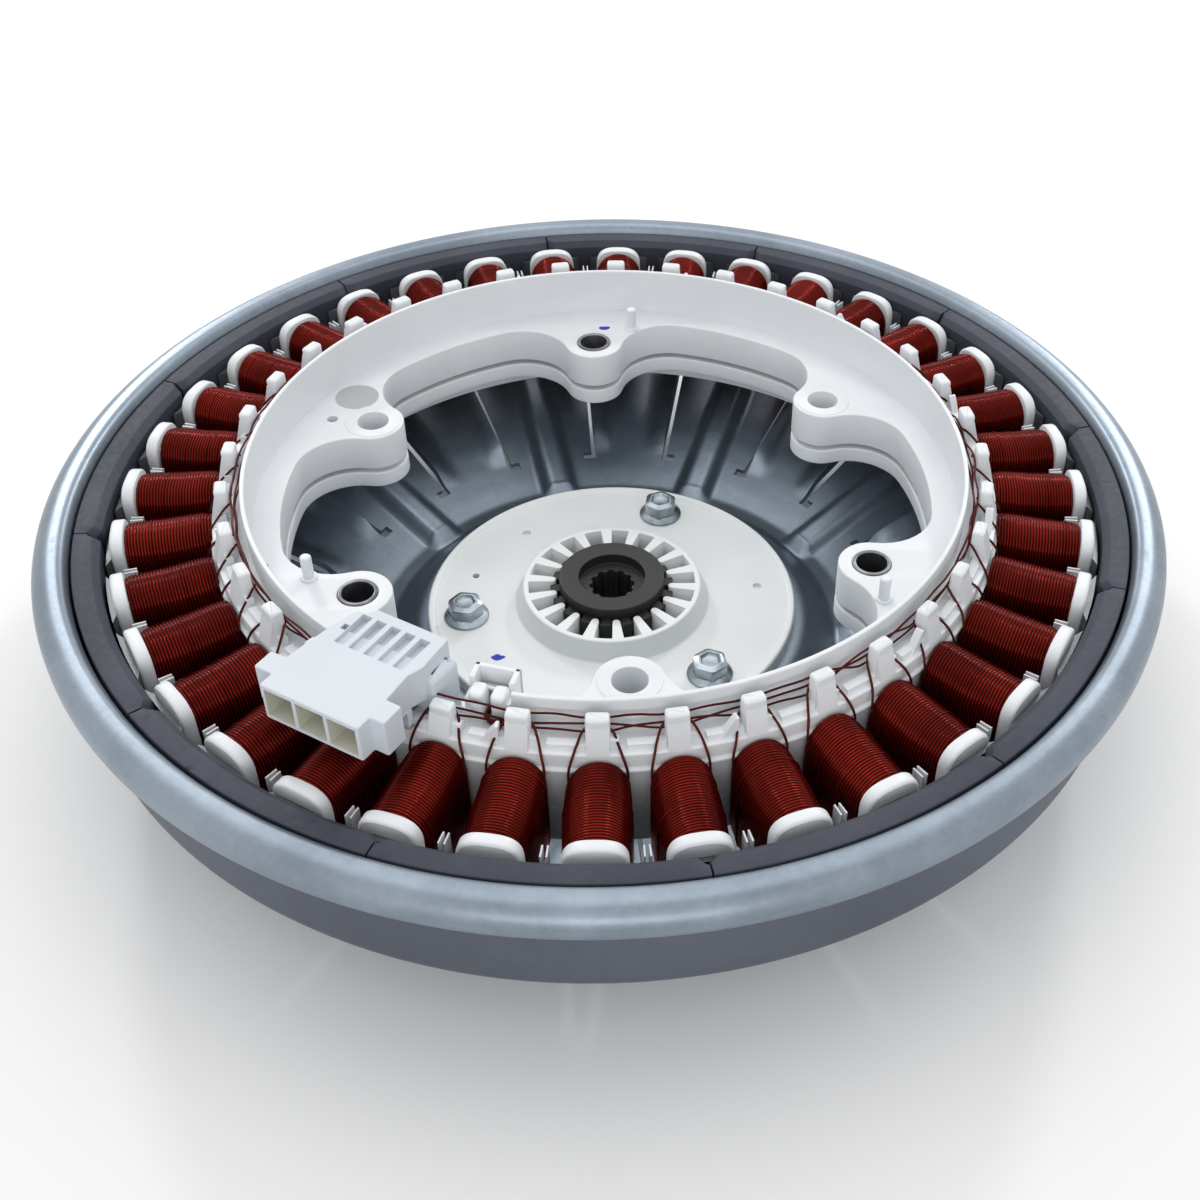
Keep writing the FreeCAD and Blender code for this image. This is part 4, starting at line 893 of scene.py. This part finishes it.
def wedge_rib(form, angle):
    """Low rib beside a peg, rising towards it along the ledge."""
    rise = [(-8.6, 59.2), (-8.2, 59.9), (-4.9, 64.6), (-4.2, 64.6), (-4.2, 59.2)]
    near = [turned((101.6, y, z), angle) for y, z in rise]
    far = [turned((103.6, y, z), angle) for y, z in rise]
    count = len(rise)
    sides = [[i, (i + 1) % count, count + (i + 1) % count, count + i] for i in range(count)]
    form.add(near + far, [list(range(count)), list(range(2 * count - 1, count - 1, -1))] + sides)


def liner_fins(form, angle, low, high):
    """Thin upright slips that line the slot beside a pole shoe."""
    for inner, outer in ((-10.3, -10.5), (10.3, 10.5)):
        fin = [(124.6, inner - 0.2), (127.9, outer - 0.2), (127.9, outer + 0.2), (124.6, inner + 0.2)]
        form.slab(fin, low, high, place=lambda p: turned(p, angle))


def neutral_box(form):
    """Open box for the crimp of the star point, with two jaws that hold its wires."""
    def put(point):
        return turned(point, NEUTRAL_AT)
    low, top = 54.0, 68.1
    inner, outer, half = 88.0, 93.0, 5.4
    rear, side, front, sill = inner + 1.1, half - 1.3, outer - 0.8, 65.0
    for x0, x1, y0, y1, high in ((inner, rear, -half, half, top), (inner, outer, -half, -side, top),
                                 (inner, outer, side, half, top), (front, outer, -half, -1.2, sill),
                                 (front, outer, 1.2, half, sill)):
        form.slab([(x0, y0), (x1, y0), (x1, y1), (x0, y1)], low, high, edge=0.25, place=put)
    for side in (-1, 1):
        jaw = rounded_path([(outer - 0.4, side * 0.8), (97.4, side * 0.8), (97.4, side * 4.3),
                            (outer - 0.4, side * 4.5)][::side], 1.3, steps=4, closed=True)
        form.slab(jaw, low, 66.8, edge=0.7, steps=3, place=put)
        flank = [(outer, side * 4.0), (96.6, side * 4.0), (96.6, side * half),
                 (outer, side * half)][::side]
        form.slab(flank, low, 64.8, edge=0.2, place=put)
    form.slab([(outer, -half), (97.0, -half), (97.0, half), (outer, half)], low, 59.4, place=put)


def lower_insulator():
    """Lower moulding: plain lobed ring, skirt, tooth covers and end plates."""
    form = Form("insulator_lower")
    loops = [circle(96.0, steps=240), lobe_loop()] + hole_loops()
    form.add(*plate(loops, 37.3, 42.1, 0.45))
    form.ring([(95.9, 30.75), (105.2, 30.75), (105.2, 42.0), (104.1, 42.0), (104.1, 31.9), (97.1, 31.9),
               (97.1, 42.0), (95.9, 42.0)], 180)
    for k in range(TEETH):
        angle = k * PITCH
        end_flange(form, angle, upward=False)
        tooth_cover(form, angle, 30.75, 31.94)
        liner_fins(form, angle, 33.0, 42.0)
    form.make("stator", "insulator_plastic", ["insulator"], ["lower_insulator"])


def coil_section():
    """Outline of a coil across its tooth: straight flanks under a round top, started at the foot."""
    half = COIL_HALF
    straight = COIL_RISE - half
    line = [(half * math.sin(math.radians(a)), -straight - half * math.cos(math.radians(a)))
            for a in (0, 22, 45, 68, 90)]
    line += [(half, straight * t) for t in (-0.4, 0.2, 0.7)]
    line += [(half * math.cos(math.radians(a)), straight + half * math.sin(math.radians(a)))
             for a in range(0, 181, 9)]
    line += [(-half, straight * t) for t in (0.7, 0.2, -0.4)]
    line += [(-half * math.sin(math.radians(a)), -straight - half * math.cos(math.radians(a)))
             for a in (90, 68, 45, 22, 0)]
    return line


def coil(form, angle, seed):
    """Round-backed coil of close turns, wound on a slant, with a few loose ones."""
    rng = random.Random(seed)
    start, stop = 105.55, 127.5
    turns, fine = 28, 5
    pitch = (stop - start) / turns
    half, rise = COIL_HALF, COIL_RISE
    section = coil_section()
    belly = rng.uniform(0.45, 0.8)
    loose = {rng.randrange(3, turns - 3): rng.uniform(0.12, 0.4) for _ in range(rng.choice((1, 2, 3)))}
    sway = rng.uniform(-0.3, 0.3)
    rows = []
    for i in range(turns * fine + 1):
        u = i / fine
        groove = abs((u % 1.0) - 0.5) * 2.0
        dip = 0.42 * (1.0 - math.sqrt(max(0.0, 1.0 - groove ** 2 * 0.96)))
        number = int(min(u, turns - 0.001))
        swell = belly * math.sin(math.pi * u / turns) + loose.get(number, 0.0) * (1 - groove)
        end = 0.5 * (1 - smooth(0.0, 2.5, u)) + 0.35 * (1 - smooth(0.0, 2.0, turns - u))
        inward = 1 - smooth(0.0, turns * 0.6, u)
        row = []
        for c, (across, up) in enumerate(section):
            s = c / (len(section) - 1)
            reach_y = (half - dip - end * 0.8 + swell) / half
            reach_z = (rise - dip - end + swell * 0.4 + (1.1 * inward if up > 0 else 0.0)) / rise
            lean = (s - 0.5) * pitch + 0.10 * math.sin(2 * math.pi * s + seed)
            aside = sway * math.sin(math.pi * u / turns) * 0.3
            row.append((min(stop, max(start - 0.25, start + u * pitch + lean)),
                        across * reach_y + aside, MIDDLE + up * reach_z))
        rows.append(row)
        # painted shade: depth between turns, stored for the material to darken
        form.depths += [groove] * len(row)

    def put(point):
        return turned(point, angle)
    form.rows(rows, place=put)
    for row, order in ((rows[0], 1), (rows[-1], -1)):
        hub = (sum(p[0] for p in row) / len(row), 0.0, MIDDLE)
        ring = [hub] + row
        form.add(ring, [[0, i, i + 1][::order] for i in range(1, len(row))], place=put)
        # painted shade: the end faces are stored as fully dark
        form.depths += [1.0] * len(ring)


def windings():
    """Three phases of twelve coils; how deep a point lies between two turns goes to the material as painted
    shade.
    """
    for phase, name in enumerate("uvw"):
        form = Form(f"coils_{name}")
        form.depths = []
        for k in range(12):
            coil(form, (phase + 3 * k) * PITCH, 100 * phase + k)
        thing = form.make("stator", "enamelled_wire", ["coil"], [f"{name}_winding"], sharp=180.0)
        # painted shade: the groove attribute read by the enamel material
        layer = thing.data.attributes.new("groove", "FLOAT", "POINT")
        layer.data.foreach_set("value", form.depths)


def curved(knots, steps=4):
    """Points on a smooth line through all the knots."""
    path = []
    for i in range(len(knots) - 1):
        before, here = Vector(knots[max(0, i - 1)]), Vector(knots[i])
        there, after = Vector(knots[i + 1]), Vector(knots[min(len(knots) - 1, i + 2)])
        for k in range(steps):
            t = k / steps
            path.append(tuple(0.5 * ((2 * here) + (there - before) * t
                                     + (2 * before - 5 * here + 4 * there - after) * t * t
                                     + (3 * here - before - 3 * there + after) * t ** 3)))
    return path + [tuple(knots[-1])]


def wires():
    """Wires that run behind the pegs and the two leads of every coil beside its peg."""
    form = Form("crossovers")
    rng = random.Random(5)
    crossing, lead = 0.29, 0.34
    levels = [60.9, 62.9, 65.3]
    first = CONNECTOR_AT + PITCH
    order = [0, 1, 2]
    places = []
    for step in range(TEETH - 1):
        if rng.random() < 0.55:
            i, j = rng.sample(range(3), 2)
            order[i], order[j] = order[j], order[i]
        places.append([levels[order[n]] + rng.uniform(-0.5, 0.5) for n in range(3)])
    for n in range(3):
        path = []
        for step in range(TEETH - 1):
            angle = first + step * PITCH
            z = places[step][n]
            near = 99.25 - 0.3 * n
            path.append(polar(near, angle - 1.6, z))
            path.append(polar(near, angle + 1.6, z))
            if step < TEETH - 2:
                ahead = places[step + 1][n]
                bow = rng.uniform(0.1, 0.6)
                path.append(polar(near - bow, angle + PITCH * 0.4, z + (ahead - z) * 0.35))
                path.append(polar(near - bow, angle + PITCH * 0.6, z + (ahead - z) * 0.65))
        form.tube(curved(path, 2), crossing)
    for k in range(TEETH):
        angle = k * PITCH
        if from_connector(angle) < 5:
            continue
        for side in (-1, 1):
            jitter = rng.uniform(-0.9, 0.9)
            knots = [(107.1, side * 6.6, 51.5), (106.5, side * 6.6, 55.5),
                     (105.2, side * (5.7 + jitter * 0.3), 58.8),
                     (103.2, side * (4.7 + jitter * 0.4), 61.0 + jitter * 0.5),
                     (101.0, side * 3.5, 62.9 + jitter), (99.3, side * 1.8, 63.5 + jitter)]
            form.tube([turned(p, angle) for p in curved(knots)], lead)
    # ends of the star point, led out of the jaws and behind the next peg
    for n, (y, z) in enumerate(((-0.25, 61.2), (0.2, 60.5), (0.1, 59.9))):
        knots = [turned((93.6, 0.0, z + 0.4), NEUTRAL_AT), turned((97.6, y, z), NEUTRAL_AT),
                 turned((98.9, 1.6 + n * 0.5, z + 0.2), NEUTRAL_AT), polar(99.0 - 0.3 * n, -101.5, z + 0.9),
                 polar(99.2 - 0.3 * n, -98.4, z + 1.5)]
        form.tube(curved(knots), lead)
    form.make("stator", "enamelled_wire", ["lead"], ["crossover_wires"], sharp=60.0)


def coat(node, finish):
    """Gives a solid of the frame its finish."""
    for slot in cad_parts[node].material_slots:
        slot.material = FINISHES[finish]


def steel_bushes():
    for number, at in enumerate(BUSHED):
        form = Form(f"bush_{number + 1}")
        x, y, _ = polar(LOBE_AT, at, 0)
        profile = rounded_path([(4.05, 37.3), (5.08, 37.3), (5.08, 54.6), (4.05, 54.6)],
                               [0.2, 0.2, 0.3, 0.3], steps=3, closed=True)
        form.ring(profile, 64)
        form.points = [(px + x, py + y, pz) for px, py, pz in form.points]
        form.make("stator", "bush_steel", ["bush"], [f"steel_bush_{number + 1}"])


def connector():
    """Three-way socket housing on the ring, with slots in its rear top and a block down to the ring."""
    def put(point):
        return turned(point, CONNECTOR_AT)

    def flat(points):
        return [turned((x, y, 0), CONNECTOR_AT)[:2] for x, y in points]
    front, back = 121.3, 88.9
    outline = [(front, -13.5), (front, 13.5), (117.3, 13.5), (117.3, 17.3), (111.2, 17.3), (111.2, 13.2),
               (103.0, 12.6), (99.2, 13.9), (back, 13.2),
               (back, -6.6), (91.4, -8.4), (91.6, -10.6), (99.2, -12.5), (106.0, -13.5),
               (111.6, -14.2), (111.8, -18.4), (117.4, -18.4), (117.4, -13.5)]
    form = Form("plug_housing")
    bottom, top, base = 64.6, 74.6, 54.4
    form.add(*plate([flat(rounded_path(outline, 0.5, steps=2, closed=True))], bottom, top, 0.3))
    body = [(back + 0.1, -6.4), (98.6, -6.4), (98.6, 13.6), (back + 0.1, 13.0)]
    form.add(*plate([flat(body)], base, 66.0, 0.2))
    cheek = rounded_path([(89.2, 11.0), (99.0, 11.0), (98.6, 15.4), (89.6, 15.9)], 1.0,
                         steps=3, closed=True)
    form.slab(flat(cheek), base, 70.5, edge=2.0, steps=4)
    for y0, y1 in ((-12.2, -9.4), (10.4, 12.9)):
        # hooked leg under the housing, with an open window behind it
        form.slab(flat([(103.6, y0), (105.2, y0), (105.2, y1), (103.6, y1)]), 59.5, 64.8)
        form.slab(flat([(98.0, y0), (105.2, y0), (105.2, y1), (98.0, y1)]), 59.4, 60.5)
    thing = form.make("stator", "connector_plastic", ["connector", "socket"], ["connector_housing"],
                      sharp=30.0)
    cutters = []
    wall, width = 1.0, 27.0
    pitch = (width - wall) / 3
    for number in range(3):
        y0 = -width / 2 + wall + number * pitch
        y1 = y0 + pitch - wall
        cutters.append(block("room", (front - 18.0, y0, 65.8), (front + 2, y1, 73.5), "socket", put))
    for number in range(5):
        centre = 1.0 + (number - 2) * 4.07
        for stop, floor in ((97.2, 72.6), (102.3, 73.5)):
            cutters.append(block("groove", (91.8, centre - 1.35, floor), (stop, centre + 1.35, top + 1.4),
                                 "connector", put))
    # painted shade: this cutter carries the charcoal finish for the inside of the hole
    cutters.append(block("rear_hole", (96.4, -10.1, 70.0), (98.2, -8.7, top + 1.4), "bushing", put))
    carve(thing, cutters)
    thing.modifiers.new("even_shading", "WEIGHTED_NORMAL").keep_sharp = True
    for name in "uvw":
        coat(f"phase_terminal_{name}", "tin")


def neutral_crimp():
    """Pressed barrel of the star point, pinched in the middle."""
    form = Form("crimp")
    barrel = rounded_path([(89.6, 55.2), (91.8, 55.2), (91.8, 64.1), (89.6, 64.1)], 0.7,
                          steps=3, closed=True)
    cx, cz = 90.7, 59.65
    rows = []
    for y, pull in ((-3.2, 0.35), (-2.9, 0.0), (-1.1, 0.0), (-0.9, 0.2), (0.9, 0.2), (1.1, 0.0),
                    (2.9, 0.0), (3.2, 0.35)):
        rows.append([turned((cx + (x - cx) * (1 - pull * 0.4), y, cz + (z - cz) * (1 - pull * 0.08)),
                            NEUTRAL_AT) for x, z in barrel])
    form.capped(rows, side=-1)
    form.make("stator", "tinned_terminal", ["tin"], ["neutral_terminal"])


def grey_patch():
    form = Form("round_patch")
    form.slab(hole_at(6.3, 87.8, 149.3, 64), RING_TOP - 0.02, RING_TOP + 0.08, edge=0.04)
    form.make("stator", "insulator_plastic", ["patch"])


rotor_cup()
magnets()
rotor_hub()
spline_bushing()
hub_bolts()
coat("stator_core", "core")
upper_insulator()
lower_insulator()
windings()
wires()
steel_bushes()
connector()
neutral_crimp()
grey_patch()


# ---------------------------------------------------------------- floor, light and camera

def seen(tree):
    """One where a ray comes straight from the camera, or by way of a mirror or glass."""
    path = tree.nodes.new("ShaderNodeLightPath")
    camera_ray, glossy_ray, through_ray = (Shade(tree, path.outputs[name]) for name in (
        "Is Camera Ray", "Is Glossy Ray", "Is Transmission Ray"))
    return camera_ray.top(glossy_ray).top(through_ray)


def studio():
    """Pale floor under a white sky that lights softly, and four soft lamps."""
    finish = Finish("pale_floor", Roughness=0.9, Base_Color=colour(0.93, 0.93, 0.93))
    floor_mesh = bpy.data.meshes.new("studio_floor")
    reach = 6.0
    corners = [(-reach, -reach, 0), (reach, -reach, 0), (reach, reach, 0), (-reach, reach, 0)]
    floor_mesh.from_pydata(corners, [], [(0, 1, 2, 3)])
    floor_mesh.materials.append(finish.material)
    floor = bpy.data.objects.new("studio_floor", floor_mesh)
    bpy.context.scene.collection.objects.link(floor)

    world = bpy.data.worlds.new("studio_air")
    bpy.context.scene.world = world
    world.use_nodes = True
    tree = world.node_tree
    air = tree.nodes["Background"]
    diffuse_level = 0.74
    level = diffuse_level + seen(tree) * (1.0 - diffuse_level)
    air.inputs["Color"].default_value = colour(1.0, 1.0, 1.0)
    tree.links.new(level.socket, air.inputs["Strength"])

    for name, place, aim, size, power in (
            ("softbox_top", (-0.1, 0.3, 1.5), (0, 0, 0.03), 1.5, 6.2),
            ("fill_front", (0.0, -1.3, 0.3), (0, 0, 0.03), 0.9, 4.0),
            ("lamp_back_left", (-0.63, 1.13, 0.78), (0, 0, 0.05), 0.17, 4.0),
            ("lamp_back_right", (0.63, 1.13, 0.78), (0, 0, 0.05), 0.17, 4.0)):
        lamp = bpy.data.lights.new(name, "AREA")
        lamp.shape, lamp.size, lamp.energy = "SQUARE", size, power
        thing = bpy.data.objects.new(name, lamp)
        thing.location = place
        thing.rotation_mode = "QUATERNION"
        thing.rotation_quaternion = (Vector(aim) - Vector(place)).to_track_quat("-Z", "Y")
        bpy.context.scene.collection.objects.link(thing)


def camera():
    """Camera at the photo's angle: found by matching circles of the part, seen off its own middle."""
    elevation, azimuth, roll = math.radians(41.03), math.radians(-2.40), math.radians(1.48)
    frame_pixels, focal_pixels, off_centre = 1200, 1532.91, -107.36
    scale = 1.015 * MM
    shift_across, shift_up, away = 26.29 * scale, -40.57 * scale, 406.48 * scale
    back = Vector((math.sin(azimuth) * math.cos(elevation), -math.cos(azimuth) * math.cos(elevation),
                   math.sin(elevation)))
    right = Vector((math.cos(azimuth), math.sin(azimuth), 0.0))
    up = back.cross(right)
    right_rolled = right * math.cos(roll) + up * math.sin(roll)
    up_rolled = up * math.cos(roll) - right * math.sin(roll)
    place = right_rolled * shift_across + up_rolled * shift_up + back * away + Vector((0, 0, 0.0682))
    data = bpy.data.cameras.new("photo_camera")
    data.sensor_width = 36.0
    data.lens = focal_pixels / frame_pixels * data.sensor_width
    data.shift_x = off_centre / frame_pixels
    data.clip_start, data.clip_end = 0.01, 30.0
    thing = bpy.data.objects.new("photo_camera", data)
    thing.matrix_world = Matrix((
        (right_rolled.x, up_rolled.x, back.x, place.x),
        (right_rolled.y, up_rolled.y, back.y, place.y),
        (right_rolled.z, up_rolled.z, back.z, place.z),
        (0, 0, 0, 1)))
    bpy.context.scene.collection.objects.link(thing)
    bpy.context.scene.camera = thing


studio()
camera()
bpy.context.scene.view_settings.view_transform = "Standard"
